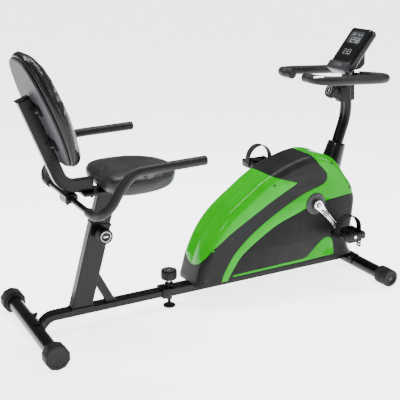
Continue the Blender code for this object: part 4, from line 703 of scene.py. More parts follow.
def swell(obj, pressure, frozen):
    """Inflates a pad's cover by cloth simulation, held where it meets its board."""
    remesh = obj.modifiers.new("cells", "REMESH")
    remesh.mode = "VOXEL"
    remesh.voxel_size = 0.0055
    obj = bake(obj)
    start = [vertex.co.copy() for vertex in obj.data.vertices]
    pins = obj.vertex_groups.new(name="held")
    pins.add([v.index for v in obj.data.vertices if frozen(v.co)], 1.0, "REPLACE")
    cloth = obj.modifiers.new("cover", "CLOTH")
    settings = cloth.settings
    settings.use_pressure = True
    settings.uniform_pressure_force = pressure
    settings.effector_weights.gravity = 0.0
    settings.vertex_group_mass = "held"
    settings.tension_stiffness = 25.0
    settings.compression_stiffness = 25.0
    settings.bending_stiffness = 2.0
    scene = bpy.context.scene
    for step in range(1, 21):
        scene.frame_set(step)
    mesh = bpy.data.meshes.new_from_object(obj.evaluated_get(bpy.context.evaluated_depsgraph_get()))
    moved = [vertex.co.copy() for vertex in mesh.vertices]
    bpy.data.meshes.remove(mesh)
    obj.modifiers.clear()
    scene.frame_set(1)
    for vertex, was, now in zip(obj.data.vertices, start, moved):
        shift = now - was
        if shift.length > SWELL:
            shift *= SWELL / shift.length
        vertex.co = was + shift
    settle = obj.modifiers.new("settle", "SMOOTH")
    settle.factor = 0.5
    settle.iterations = 4
    finer = obj.modifiers.new("finer", "SUBSURF")
    finer.levels = 1
    finer.render_levels = 1
    return bake(obj)


def lofted(rings, to_world):
    """A closed form through rings of the same outline at different depths."""
    bm = bmesh.new()
    made = [[bm.verts.new(to_world(point, depth)) for point in ring] for ring, depth in rings]
    count = len(made[0])
    for near, far in zip(made, made[1:]):
        for step in range(count):
            after = (step + 1) % count
            bm.faces.new((near[step], near[after], far[after], far[step]))
    bm.faces.new(made[0][::-1])
    bm.faces.new(made[-1])
    return from_bmesh(bm)


def shrunk(outline, inset, middle):
    """An outline pulled in evenly by about an inset."""
    ring = []
    for x, y in outline:
        offset = Vector((x - middle[0], y - middle[1]))
        length = offset.length
        ring.append(tuple(Vector(middle) + offset * max(length - inset, 0.01) / length))
    return ring


def line_on(obj, points, lift):
    """Points moved onto a surface and raised from it."""
    tree = BVHTree.FromObject(obj, bpy.context.evaluated_depsgraph_get())
    placed = []
    for point in points:
        spot, normal, _, _ = tree.find_nearest(point)
        placed.append(spot + normal * lift)
    return placed


def piping(name, obj, points, body, radius, material):
    path = line_on(obj, points, radius * 0.25)
    path.append(path[0])
    place_piece(sweep(path, circle(radius, 10), caps=False), name, material, body, angle=60)


def stitches(name, obj, points, body, length=0.0045):
    """A line of short threads lying on a surface."""
    bm = bmesh.new()
    path = line_on(obj, points, 0.0003)
    for here, there in zip(path[::2], path[1::2]):
        way = there - here
        turn = Vector((1, 0, 0)).rotation_difference(way).to_matrix().to_4x4()
        shape = Matrix.Translation((here + there) / 2) @ turn @ Matrix.Diagonal((length / 2, 0.0006, 0.0005,
                                                                                 1))
        bmesh.ops.create_uvsphere(bm, u_segments=6, v_segments=4, radius=1.0, matrix=shape)
    place_piece(from_bmesh(bm), name, THREAD, body, angle=80)


def seat_cushion():
    """Crowned saddle pad: broad behind, tapering to a rounded nose."""
    low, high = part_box("seat_cushion")
    rear, length, half = low.x, high.x - low.x, (high.y - low.y) / 2 - 0.003
    right = [(0.006, -0.30), (0.010, -0.62), (0.030, -0.86), (0.075, -0.985), (0.130, -1.0), (0.190, -0.92),
             (0.245, -0.74), (0.282, -0.46), (0.300, -0.16)]
    knots = [(rear + x * length / 0.303, share * half) for x, share in right]
    knots += [(x, -y) for x, y in knots[::-1]]
    outline = [tuple(point) for point in spline([(x, y, 0) for x, y in knots], 6, closed=True)]
    outline = [(x, y) for x, y, _ in outline]
    middle = (rear + length * 0.46, 0.0)
    depths = [(0.030, 0.0012), (0.018, 0.0035), (0.009, 0.012), (0.002, 0.028), (0.0005, 0.044),
              (0.006, 0.058),
              (0.020, 0.067), (0.045, 0.0715), (0.080, 0.0735)]
    rings = [(shrunk(outline, inset, middle), height) for inset, height in depths]
    pad = lofted(rings, lambda point, depth: Vector((point[0], point[1], low.z + depth)))
    pad = swell(pad, 3.0, lambda co: co.z < low.z + 0.010)
    place_piece(pad, "seat_pad", SEAT_VINYL_SHEEN, "seat_carriage", ["seat_cushion"], 80)
    seam = [Vector((x, y, low.z + 0.047)) for x, y in shrunk(outline, 0.001, middle)]
    piping("seat_pad_seam", pad, seam, "seat_carriage", 0.0012, SEAT_VINYL_SHEEN)
    row = [Vector((x, y, low.z + 0.0525)) for x, y in shrunk(outline, 0.003, middle)]
    stitches("seat_pad_stitches", pad, row, "seat_carriage")
    board = lofted([(shrunk(outline, 0.032, middle), 0.0), (shrunk(outline, 0.028, middle), 0.0015),
                    (shrunk(outline, 0.028, middle), 0.0080)],
                   lambda point, depth: Vector((point[0], point[1], low.z - 0.0005 + depth)))
    place_piece(board, "seat_pad_board", NYLON, "seat_carriage")


BACK_HEIGHT = 0.415
BACK_FOOT = -0.260          # the pad's lowest point, along the back tube from its mark
BACK_SHAPE = [(0.002, 0.20), (0.006, 0.42), (0.022, 0.64), (0.075, 0.845), (0.140, 0.975), (0.200, 1.0),
              (0.250, 0.962), (0.300, 0.875), (0.345, 0.735), (0.380, 0.52), (0.396, 0.20)]


def back_outline():
    right = [(-share * 0.160, up * BACK_HEIGHT / 0.400) for up, share in BACK_SHAPE]
    knots = right + [(-y, up) for y, up in right[::-1]]
    return [(y, up) for y, up, _ in spline([(y, up, 0) for y, up in knots], 6, closed=True)]


def backrest():
    """Padded back on a flat moulded board."""
    outline = back_outline()
    middle = (0.0, BACK_HEIGHT / 2)
    face = 0.0063

    def put(point, depth):
        return back_point(point[1] + BACK_FOOT, face + depth, point[0])

    board_depth = 0.008
    board = lofted([(shrunk(outline, 0.0165, middle), 0.0), (shrunk(outline, 0.0145, middle), 0.0012),
                    (shrunk(outline, 0.0140, middle), 0.0070),
                    (shrunk(outline, 0.0150, middle), board_depth)],
                   put)
    place_piece(board, "back_board", BOARD, "seat_carriage", ["back_panel"], 30)
    cord = [put(point, 0.0065) for point in shrunk(outline, 0.0135, middle)]
    piping("back_board_edge", board, cord, "seat_carriage", 0.0017, RUBBER)
    depths = [(0.012, 0.0010), (0.006, 0.0040), (0.001, 0.011), (0.001, 0.021), (0.005, 0.033),
              (0.013, 0.042),
              (0.027, 0.0475), (0.050, 0.0505), (0.085, 0.0520)]
    rings = [(shrunk(outline, inset, middle), depth + board_depth) for inset, depth in depths]
    pad = lofted(rings, put)
    near = put((0, 0.2), board_depth + 0.006)
    pad = swell(pad, 3.0, lambda co: (co - near).dot(BACK_OUT) < 0.0)
    place_piece(pad, "back_pad", BACK_VINYL, "seat_carriage", ["back_cushion"], 80)
    seam = [put(point, board_depth + 0.0225) for point in shrunk(outline, 0.001, middle)]
    piping("back_pad_seam", pad, seam, "seat_carriage", 0.0012, BACK_VINYL)
    row = [put(point, board_depth + 0.0275) for point in shrunk(outline, 0.002, middle)]
    stitches("back_pad_stitches", pad, row, "seat_carriage")


# ------------------------------------------------------------ side handles ----
def side_handle_path(side):
    x, half, lift = HANDLE_X, 0.2975, 0.4930
    knots = [(0.0, 0.0, 0.0), (0.0, half - 0.090, 0.0), (0.003, half - 0.045, 0.004),
             (0.014, half - 0.012, 0.021), (0.038, half, 0.047), (0.066, half, 0.089),
             (0.095, half, 0.124), (0.125, half, 0.143), (0.171, half, 0.148),
             (0.280, half, 0.151), (0.371, half, 0.1535)]
    return spline([(along(x + dx), side * y, lift + dz) for dx, y, dz in knots], 8)


def side_handles():
    right, left = side_handle_path(-1), side_handle_path(1)
    bar = sweep(right[::-1] + left[1:], circle(0.011))
    place_piece(bar, "side_handle_bar", POWDER_COAT, "seat_carriage", ["side_handle_tube"])
    for side, name in SIDES:
        path = side_handle_path(side)
        foam = [place for place in path if side * place.y > 0.186 or place.z > 0.5]
        foam[-1] = foam[-1] + Vector((0.0005, 0, 0))
        place_piece(rounded_bar(foam, 0.0160, 0.0022), "side_foam_" + name, FOAM, "seat_carriage",
                    ["side_grip_" + name], 60)
        for x in (-0.013, 0.013):
            hex_bolt("handle_clamp_bolt_%s_%s" % (name, "front" if x > 0 else "rear"),
                     Vector((along(HANDLE_X + x), side * 0.024, 0.4794)), (0, 0, -1), "seat_carriage", 0.0048)
    # A thin near-black strip painted along the clamp's split as the shade in that gap.
    split_shade = block((0.0448, 0.0704, 0.0012), Vector((along(HANDLE_X), 0, 0.4932)), bevel=0.0005)
    place_piece(split_shade, "handle_clamp_split_shade", SHADE_PAINT, "seat_carriage")


# ------------------------------------------------------------- pull knobs ----
def knob_mark(name, place, axis, radius, body):
    """A printed ring with tick marks and a bar across the middle."""
    ring = [lathe([(radius, 0.0), (radius, 0.0005), (radius - 0.0016, 0.0005), (radius - 0.0016, 0.0),
                   (radius, 0.0)], place, axis, 64)]
    turn = facing(axis)
    for number in range(20):
        a = 2 * pi * number / 20
        spot = Vector(place) + turn @ Vector((cos(a), sin(a), 0)) * (radius - 0.0034)
        ring.append(block((0.0016, 0.0008, 0.0006), spot, turn @ Matrix.Rotation(a, 3, "Z")))
    ring.append(block((radius * 0.85, radius * 0.30, 0.0006), Vector(place), turn, 0.0002, 1))
    place_piece(merged(*ring), name, SILVER_PRINT, body)


def seat_pull_knob():
    start = seat_axis(0.300, -0.019)
    profile = [(0.0, 0.0594), (0.0200, 0.0594), (0.0210, 0.0602), (0.0240, 0.0602), (0.0264, 0.0585),
               (0.0273, 0.0560), (0.0275, 0.0520), (0.0275, 0.0290), (0.0262, 0.0262), (0.0180, 0.0210),
               (0.0150, 0.0190), (0.0, 0.0190)]
    place_piece(lathe(profile, start, (0, -1, 0), 144, 24, 0.0011, 0.97), "seat_knob_grip", NYLON,
                "seat_pull_knob", ["seat_knob"], 40)
    boss = lathe([(0.0095, 0.019), (0.0120, 0.0185), (0.0120, 0.0120), (0.0140, 0.0110), (0.0140, 0.0006),
                  (0.0, 0.0006)], start, (0, -1, 0), 6)
    place_piece(boss, "seat_knob_bush", ZINC, "seat_pull_knob", angle=25)
    knob_mark("seat_knob_mark", start + Vector((0, -0.0595, 0)), (0, -1, 0), 0.0192, "seat_pull_knob")


def rail_pull_knob():
    x = along(RAIL_KNOB_X)
    top = RAIL_TOP
    profile = [(0.0, 0.0682), (0.0215, 0.0682), (0.0230, 0.0690), (0.0275, 0.0682), (0.0303, 0.0650),
               (0.0310, 0.0600), (0.0310, 0.0400), (0.0300, 0.0350), (0.0260, 0.0315), (0.0, 0.0310)]
    place_piece(lathe(profile, (x, 0, top), (0, 0, 1), 144, 18, 0.0018, 0.95), "rail_knob_grip", NYLON,
                "rail_pull_knob", ["rail_knob"], 40)
    stem = lathe([(0.0, 0.0320), (0.0073, 0.0320), (0.0073, 0.0195), (0.0068, 0.0190), (0.0068, 0.0060),
                  (0.0, 0.0060)],
                 (x, 0, top), (0, 0, 1), 40)
    place_piece(stem, "rail_knob_stem", CHROME, "rail_pull_knob")
    knob_mark("rail_knob_mark", (x, 0, top + 0.0683), (0, 0, 1), 0.0190, "rail_pull_knob")
    nut = lathe([(0.0079, 0.0178), (0.0125, 0.0178), (0.0150, 0.0165), (0.0175, 0.0125), (0.0175, 0.0040),
                 (0.0165, 0.0004), (0.0079, 0.0004), (0.0079, 0.0178)], (x, 0, top), (0, 0, 1), 90, 5,
                 0.0042, 0.8)
    place_piece(nut, "rail_lobed_nut", NYLON, "front_frame", ["rail_star_nut"], 40)
    foot = lathe([(0.0, 0.0388), (0.0060, 0.0388)] + [
        item for turn in range(14) for item in ((0.0060, 0.0380 - turn * 0.0016),
                                                (0.0053, 0.0372 - turn * 0.0016))]
        + [(0.0095, 0.0145), (0.0105, 0.0125), (0.0150, 0.0095), (0.0225, 0.0072), (0.0235, 0.0055),
           (0.0235, 0.0018), (0.0222, 0.0002), (0.0, 0.0002)], (x, 0, 0), (0, 0, 1), 64)
    place_piece(foot, "levelling_foot_screw", RUBBER, "foot", ["levelling_foot"], 50)


# ----------------------------------------------------------------- shroud ----
SHROUD_HALF = 0.088
SHOULDER = 0.030
PANEL_GAP = 0.0009          # gap round each green panel; the painted shade skin behind the shell shows dark through it
WING_FOOT_Z = 0.156
WING_SHOULDER_Z = 0.228
WING_HALF_WIDTH = 0.082
SHROUD = [(-0.525, 0.094), (-0.516, 0.125), (-0.502, 0.175), (-0.479, 0.230), (-0.448, 0.285),
          (-0.405, 0.336), (-0.355, 0.378), (-0.310, 0.410), (-0.260, 0.446), (-0.210, 0.476),
          (-0.150, 0.503), (-0.090, 0.524), (-0.030, 0.537), (0.025, 0.537), (0.075, 0.520),
          (0.115, 0.487), (0.150, 0.440), (0.186, 0.394), (0.198, 0.362), (0.206, 0.330),
          (0.203, 0.280), (0.196, 0.215), (0.182, 0.170), (0.188, 0.130), (0.205, 0.100)]
UNDER_SHROUD = [(-0.700, 0.0800), (-0.548, 0.0823), (-0.380, 0.0960), (0.130, 0.0970), (0.300, 0.1010),
                (0.300, -0.200), (-0.700, -0.200)]
# each panel is a list of strokes; the corners between strokes stay sharp
WING = [[(-0.620, 0.140), (-0.455, 0.140)], [(-0.455, 0.228), (-0.466, 0.228)],
        [(-0.446, 0.240), (-0.385, 0.282), (-0.321, 0.319), (-0.197, 0.387),
         (-0.099, 0.434), (-0.094, 0.440), (-0.103, 0.445), (-0.181, 0.470), (-0.222, 0.492),
         (-0.240, 0.540)],
        [(-0.420, 0.560), (-0.620, 0.300)]]
COWL = [[(-0.423, 0.060), (-0.423, 0.097), (-0.405, 0.140), (-0.360, 0.205), (-0.280, 0.272), (-0.172, 0.337),
         (-0.062, 0.389), (0.019, 0.412), (0.044, 0.425), (0.052, 0.446), (0.044, 0.468), (0.008, 0.505),
         (-0.022, 0.545), (-0.030, 0.590)],
        [(0.300, 0.590), (0.300, 0.365)],
        [(0.149, 0.358), (0.046, 0.347), (-0.040, 0.330), (-0.080, 0.317), (-0.171, 0.287), (-0.247, 0.246),
         (-0.333, 0.187), (-0.375, 0.132), (-0.397, 0.093), (-0.400, 0.060)]]
TRIM = [[(-0.372, 0.111), (-0.052, 0.118)],
        [(-0.052, 0.118), (-0.028, 0.126), (-0.002, 0.148), (0.030, 0.176), (0.056, 0.190), (0.080, 0.187),
         (0.093, 0.168), (0.099, 0.140), (0.102, 0.112)],
        [(-0.049, 0.107), (-0.375, 0.104)]]
ABOVE_STRIPE = [(-0.411, 0.050), (-0.411, 0.095), (-0.395, 0.134), (-0.347, 0.196), (-0.263, 0.259),
                (-0.171, 0.312), (-0.070, 0.353), (0.030, 0.385), (0.100, 0.420), (0.100, 0.620),
                (-0.700, 0.620), (-0.700, 0.050)]


def from_crank(points):
    return [(CRANK.x + x, z) for x, z in points]


def strokes(panel, steps=5):
    outline = []
    for stroke in panel:
        if len(stroke) > 2:
            outline += [(p.x, p.y) for p in spline([(x, z, 0) for x, z in stroke], steps)]
        else:
            outline += stroke
    return from_crank(outline)


def shroud_form(grow, low=-0.020):
    """The shroud's rounded body, drawn on below its lower edge."""
    line = [(p.x, p.y) for p in spline([(x, z, 0) for x, z in SHROUD], 4)]
    outline = from_crank([(-0.528, low)] + line + [(0.212, low)])
    width = SHROUD_HALF + grow
    return plate([outline], -width, width, SHOULDER + grow, 7, grow)


def wing_tongue(grow):
    """The space, seen from behind, whose rounded foot gives the rear panel its pointed end."""
    drop = WING_SHOULDER_Z - WING_FOOT_Z + grow
    outline = [(0.130, 0.700), (0.130, WING_SHOULDER_Z)]
    outline += [((WING_HALF_WIDTH + grow) * cos(a), WING_SHOULDER_Z - drop * sin(a))
                for a in [pi * step / 40 for step in range(1, 40)]]
    outline += [(-0.130, WING_SHOULDER_Z), (-0.130, 0.700)]
    tongue = prism(outline, -0.6, 0.9)
    tongue.data.transform(Matrix.Rotation(pi / 2, 4, "Z"))
    return tongue


def half_space(side):
    return block((3.0, 1.0, 3.0), (0, side * (0.5 + 0.0003), 0))


def edge_break(obj, width=0.0007):
    """Rounds only the cut edges of a shell panel, where it meets a neighbour."""
    return soften(obj, width, 2, 50)


def shroud():
    wide = SHROUD_HALF + 0.05
    shell = cut(shroud_form(0.0), shroud_form(-0.003, -0.060), prism(from_crank(UNDER_SHROUD), -wide, wide))
    hole = lathe([(0.0145, 0.0), (0.0145, 2 * wide)], (CRANK.x, -wide, CRANK.z), (0, 1, 0), 40)
    neck = Vector((CRANK.x + POST_FOOT_X, 0, POST_FOOT_Z))
    sleeve = lathe([(0.0365, 0.0), (0.0365, 0.45)], neck - POST_UP * 0.25, POST_UP, 48)
    shell = cut(shell, hole, sleeve)
    for side, name in SIDES:
        half = common(twin(shell), half_space(side))
        for panel, outline, near in (("wing", WING, -0.010), ("cowl", COWL, -0.010), ("trim", TRIM, 0.060)):
            low, high = sorted((side * near, side * wide))
            tools = [prism(strokes(outline), low, high),
                     prism(strokes(outline), low - 0.001, high, PANEL_GAP)]
            if panel == "wing":
                tools = [common(tools[0], wing_tongue(0.0)), common(tools[1], wing_tongue(PANEL_GAP))]
            piece = common(twin(half), tools[0])
            place_piece(edge_break(piece), "%s_panel_%s" % (panel, name), GREEN_ABS, "front_frame",
                        ["%s_%s" % (panel, name)], 32)
            half = cut(half, tools[1])
        low, high = sorted((side * -0.010, side * wide))
        above = common(twin(half), prism(from_crank(ABOVE_STRIPE), low, high))
        place_piece(edge_break(above), "shroud_upper_" + name, SATIN_ABS, "front_frame",
                    ["shroud_band_" + name], 32)
        below = cut(half, prism(from_crank(ABOVE_STRIPE), low, high))
        place_piece(edge_break(below), "shroud_lower_" + name, SATIN_ABS, "front_frame", ["shroud_" + name],
                    32)
    bpy.data.objects.remove(shell, do_unlink=True)
    # A near-black skin inside the shell: painted shade for the shroud's hollow inside, seen through the panel
    # gaps and openings.
    shade_skin = shroud_form(-0.0036, -0.070)
    shade_skin = cut(shade_skin, shroud_form(-0.0046, -0.090), prism(from_crank(UNDER_SHROUD), -wide, wide),
                 lathe([(0.016, 0.0), (0.016, 2 * wide)], (CRANK.x, -wide, CRANK.z), (0, 1, 0), 40),
                 lathe([(0.038, 0.0), (0.038, 0.45)], neck - POST_UP * 0.25, POST_UP, 48))
    place_piece(shade_skin, "shroud_inner_shade_skin", SHADE_PAINT, "front_frame")
    screws = {"top_rear": (-0.196, 0.444), "rear": (-0.380, 0.262), "nose_top": (0.072, 0.498),
              "nose": (0.166, 0.386), "foot": (-0.492, 0.112), "front_foot": (0.160, 0.118)}
    form = shroud_form(0.0)
    tree = BVHTree.FromObject(form, bpy.context.evaluated_depsgraph_get())
    for side, name in SIDES:
        for tag, (x, z) in screws.items():
            spot, normal, _, _ = tree.ray_cast(Vector((CRANK.x + x, side * 0.4, z)), Vector((0, -side, 0)))
            if spot is not None:
                recessed_screw("shroud_screw_%s_%s" % (tag, name), spot, normal, "front_frame")
    bpy.data.objects.remove(form, do_unlink=True)


def axle_covers():
    for side, name in SIDES:
        place = CRANK + Vector((0, side * 0.0883, 0))
        disc = lathe([(0.0108, 0.0008), (0.0108, 0.0040), (0.0200, 0.0046), (0.0260, 0.0040),
                      (0.0275, 0.0052),
                      (0.0400, 0.0050), (0.0432, 0.0036), (0.0442, 0.0004), (0.0108, 0.0004)], place,
                      (0, side, 0), 72)
        place_piece(disc, "axle_disc_" + name, GREY_PP, "front_frame", ["axle_cover_" + name])
        # The dished well round the axle hole is painted near-black as the shade inside it.
        well = lathe([(0.0215, 0.0052), (0.0215, 0.0056), (0.0108, 0.0048), (0.0108, 0.0040),
                      (0.0215, 0.0044)],
                     place, (0, side, 0), 48)
        place_piece(well, "axle_disc_well_shade_" + name, SHADE_PAINT, "front_frame")


# ---------------------------------------------------- post and handlebar ----
def post_axis(distance):
    return Vector((CRANK.x + POST_FOOT_X, 0, POST_FOOT_Z)) + POST_UP * distance


def lobed(scale=1.0):
    lobe, offset = 0.0155 * scale, 0.0115
    waist = asin(offset / 0.0155) * 0.8
    front = arc((offset, 0), lobe, -pi / 2 - waist, pi / 2 + waist, 20)
    return front + [(-x, -y) for x, y in front]


def handle_post():
    bend = post_axis((POST_BEND_Z - POST_FOOT_Z) / cos(POST_LEAN))
    rise = POST_TOP_Z - bend.z
    top = bend + Vector((tan(POST_TOP_LEAN) * rise, 0, rise))
    foot = post_axis(0.0012)
    start = bend - (bend - foot).normalized() * 0.045
    end = bend + (top - bend).normalized() * 0.045
    path = [foot]
    for step in range(17):
        t = step / 16
        path.append((1 - t) ** 2 * start + 2 * t * (1 - t) * bend + t ** 2 * end)
    path.append(top)
    section = [(-y, x) for x, y in lobed()]
    place_piece(sweep(path, section), "post_tube", POWDER_COAT, "front_frame", ["handle_post"], 50)


def post_sleeve():
    top = post_axis(0.115)
    profile = [(0.0300, 0.0), (0.0348, 0.0), (0.0356, -0.0012), (0.0365, -0.012), (0.0510, -0.175),
               (0.0480, -0.175),
               (0.0325, -0.010), (0.0300, -0.0100), (0.0300, 0.0)]
    body = cut(lathe(profile, top, POST_UP, 96), shroud_form(0.0006))
    place_piece(body, "post_cone", GLOSS_BLACK, "front_frame", ["post_sleeve"], 40)
    bung = lathe([(0.0, -0.0040), (0.0298, -0.0040), (0.0298, -0.0090), (0.0, -0.0090)], top, POST_UP, 64)
    room = sweep([post_axis(0.05), post_axis(0.16)], [(-y * 1.03, x * 1.03) for x, y in lobed()])
    place_piece(cut(bung, room), "post_cone_bung", NYLON, "front_frame")


def bar_path(side):
    x, front, rear = CRANK.x + BAR_FORWARD, CRANK.x + 0.287, CRANK.x - BAR_REARWARD
    half, end = 0.150, 0.042
    knots = [(x, 0.0), (x + 0.012, 0.036), (front - 0.035, 0.070), (front - 0.004, 0.102),
             (front - 0.014, half - 0.016), (front - 0.060, half), (x - 0.060, half),
             (rear + 0.070, half), (rear + 0.018, half - 0.016), (rear, half - 0.052),
             (rear, end + 0.020), (rear, end)]
    return spline([(px, side * y, 0.826 - 0.048 * (px - x)) for px, y in knots], 8)


def handlebar():
    right, left = bar_path(-1), bar_path(1)
    place_piece(sweep(right[::-1] + left[1:], circle(0.011)), "handlebar_bar", POWDER_COAT, "front_frame",
                ["handlebar_tube"])
    clamp_x = CRANK.x + BAR_FORWARD
    for side, name in SIDES:
        path = bar_path(side)
        foam = [place for place in path if side * place.y > 0.043 or place.x < clamp_x - 0.05]
        place_piece(rounded_bar(foam, 0.0175, 0.0025, 32), "bar_foam_" + name, FOAM, "front_frame",
                    ["bar_grip_" + name], 60)
        pulse_plates(side, name, foam)


def pulse_plates(side, name, path):
    """Two satin steel sensor plates bent over the bar's curled end, with a gap between them."""
    wrap = [place for place in path if place.x < CRANK.x - BAR_REARWARD + 0.030 and side * place.y > 0.058]
    for index, (start, end) in enumerate(((0.10, 0.42), (0.58, 0.90))):
        part = wrap[round(start * (len(wrap) - 1)):round(end * (len(wrap) - 1)) + 1]
        bm = bmesh.new()
        rings = []
        last = len(part) - 1
        for step, spot in enumerate(part):
            ahead = (part[min(step + 1, last)] - part[max(step - 1, 0)]).normalized()
            lift = (Vector((0, 0, 1)) - ahead * ahead.z).normalized()
            across = ahead.cross(lift)
            ring = []
            for radius in (0.0188, 0.0178):
                turn = [radians(a) for a in range(25, 156, 10)]
                if radius < 0.0180:
                    turn = turn[::-1]
                ring += [spot + across * radius * cos(a) + lift * radius * sin(a) for a in turn]
            rings.append([bm.verts.new(p) for p in ring])
        for near, far in zip(rings, rings[1:]):
            for step in range(len(near)):
                after = (step + 1) % len(near)
                bm.faces.new((near[step], near[after], far[after], far[step]))
        bm.faces.new(rings[0])
        bm.faces.new(rings[-1][::-1])
        piece = place_piece(from_bmesh(bm), "pulse_plate_%s_%d" % (name, index + 1), SENSOR_STEEL,
                            "front_frame")
        if not index:
            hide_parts("pulse_plate_" + name)


def bar_clamp():
    low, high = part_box("handlebar_clamp")
    middle = (low + high) / 2
    body = block(high - low, middle, bevel=0.004)
    bore = sweep(bar_path(-1)[12::-1] + bar_path(1)[1:13], circle(0.0113))
    place_piece(cut(body, bore), "bar_clamp_body", NYLON, "front_frame", ["handlebar_clamp"], 40)
    for y in (-0.014, 0.014):
        hex_bolt("bar_clamp_bolt_" + ("right" if y < 0 else "left"), Vector((low.x, y, low.z + 0.010)),
                 (-1, 0, 0),
                 "front_frame", 0.0045)


def resistance_dial():
    centre = post_axis((POST_BEND_Z - POST_FOOT_Z) / cos(POST_LEAN))
    rise = 0.754 - centre.z
    centre = centre + Vector((tan(POST_TOP_LEAN) * rise, 0, rise))
    lean = leaning(POST_TOP_LEAN)
    collar = block((0.068, 0.046, 0.066), centre + Vector((-0.004, 0, 0)), lean, 0.007, 4)
    nose_start = centre + Vector((-0.030, 0, -0.006))
    nose = lathe([(0.0, 0.0338), (0.0200, 0.0338), (0.0212, 0.0320), (0.0225, 0.0), (0.0, 0.0)], nose_start,
                 KNOB_AXIS, 48)
    room = sweep([centre - Vector((0, 0, 0.08)) + Vector((0.007, 0, 0)), centre + Vector((-0.007, 0, 0.08))],
                 [(-y * 1.02, x * 1.02) for x, y in lobed()])
    body = boolean(collar, nose, "UNION")
    place_piece(cut(body, room), "dial_housing", NYLON, "front_frame", ["tension_housing"], 40)
    start = nose_start + KNOB_AXIS * 0.0345
    profile = [(0.0, 0.0228), (0.0190, 0.0228), (0.0200, 0.0238), (0.0238, 0.0236), (0.0262, 0.0215),
               (0.0272, 0.0180), (0.0280, 0.0060), (0.0272, 0.0010), (0.0258, 0.0), (0.0, 0.0)]
    place_piece(lathe(profile, start, KNOB_AXIS, 160, 32, 0.0012, 0.96), "dial_knob", NYLON,
                "resistance_dial",
                ["tension_knob"], 40)
    knob_mark("dial_mark", start + KNOB_AXIS * 0.0229, KNOB_AXIS, 0.0165, "resistance_dial")
    for y, name in ((-0.0236, "right"), (0.0236, "left")):
        recessed_screw("dial_housing_screw_" + name, centre + Vector((0.004, y, 0.012)),
                       (0, 1 if y > 0 else -1, 0),
                       "front_frame")


# ---------------------------------------------------------------- console ----
CONSOLE_TURN = Matrix((CONSOLE_IN, (0, 1, 0), CONSOLE_UP)).transposed()


def console_point(up, back, y=0.0):
    """A point from the middle of the console face's lower edge."""
    foot = Vector((CRANK.x + 0.132, y, 0.851))
    return foot + CONSOLE_UP * up + CONSOLE_IN * back


def face_block(width, low, high, front, back, bevel=0.0, y=0.0, segments=4):
    return block((back - front, width, high - low), console_point((low + high) / 2, (front + back) / 2, y),
                 CONSOLE_TURN, bevel, segments)


def face_plate(width, low, high, front, back, corner):
    """A thin plate on the console's face with rounded corners in its own plane."""
    bm = bmesh.new()
    half = width / 2
    spots = []
    for cy, cu, start in ((half - corner, high - corner, 0), (-half + corner, high - corner, 90),
                          (-half + corner, low + corner, 180), (half - corner, low + corner, 270)):
        spots += [(cy + corner * cos(radians(start + a)), cu + corner * sin(radians(start + a)))
                  for a in range(0, 91, 15)]
    near = [bm.verts.new(console_point(u, front, y)) for y, u in spots]
    far = [bm.verts.new(console_point(u, back, y)) for y, u in spots]
    for step in range(len(spots)):
        after = (step + 1) % len(spots)
        bm.faces.new((near[step], near[after], far[after], far[step]))
    bm.faces.new(near)
    bm.faces.new(far[::-1])
    return from_bmesh(bm)


SEGMENTS = {"top": (0, 1, 1), "middle": (0, 0, 1), "bottom": (0, -1, 1), "upper_left": (-1, 0.5, 0),
            "upper_right": (1, 0.5, 0), "lower_left": (-1, -0.5, 0), "lower_right": (1, -0.5, 0)}
DIGITS = {"0": "top bottom upper_left upper_right lower_left lower_right", "1": "upper_right lower_right",
          "2": "top middle bottom upper_right lower_left", "3": "top middle bottom upper_right lower_right",
          "5": "top middle bottom upper_left lower_right",
          "8": "top middle bottom upper_left upper_right lower_left lower_right"}


def digit(value, up, y, height, front):
    """A seven-segment numeral lying on the display."""
    pieces = []
    half, stroke = height / 4, height * 0.10
    for name in DIGITS[value].split():
        across, level, flat = SEGMENTS[name]
        size = (half * 1.6, stroke) if flat else (stroke, half * 1.7)
        centre = console_point(up + level * 2 * half, front, y - across * half)
        pieces.append(block((0.0003, size[0], size[1]), centre, CONSOLE_TURN))
    return pieces


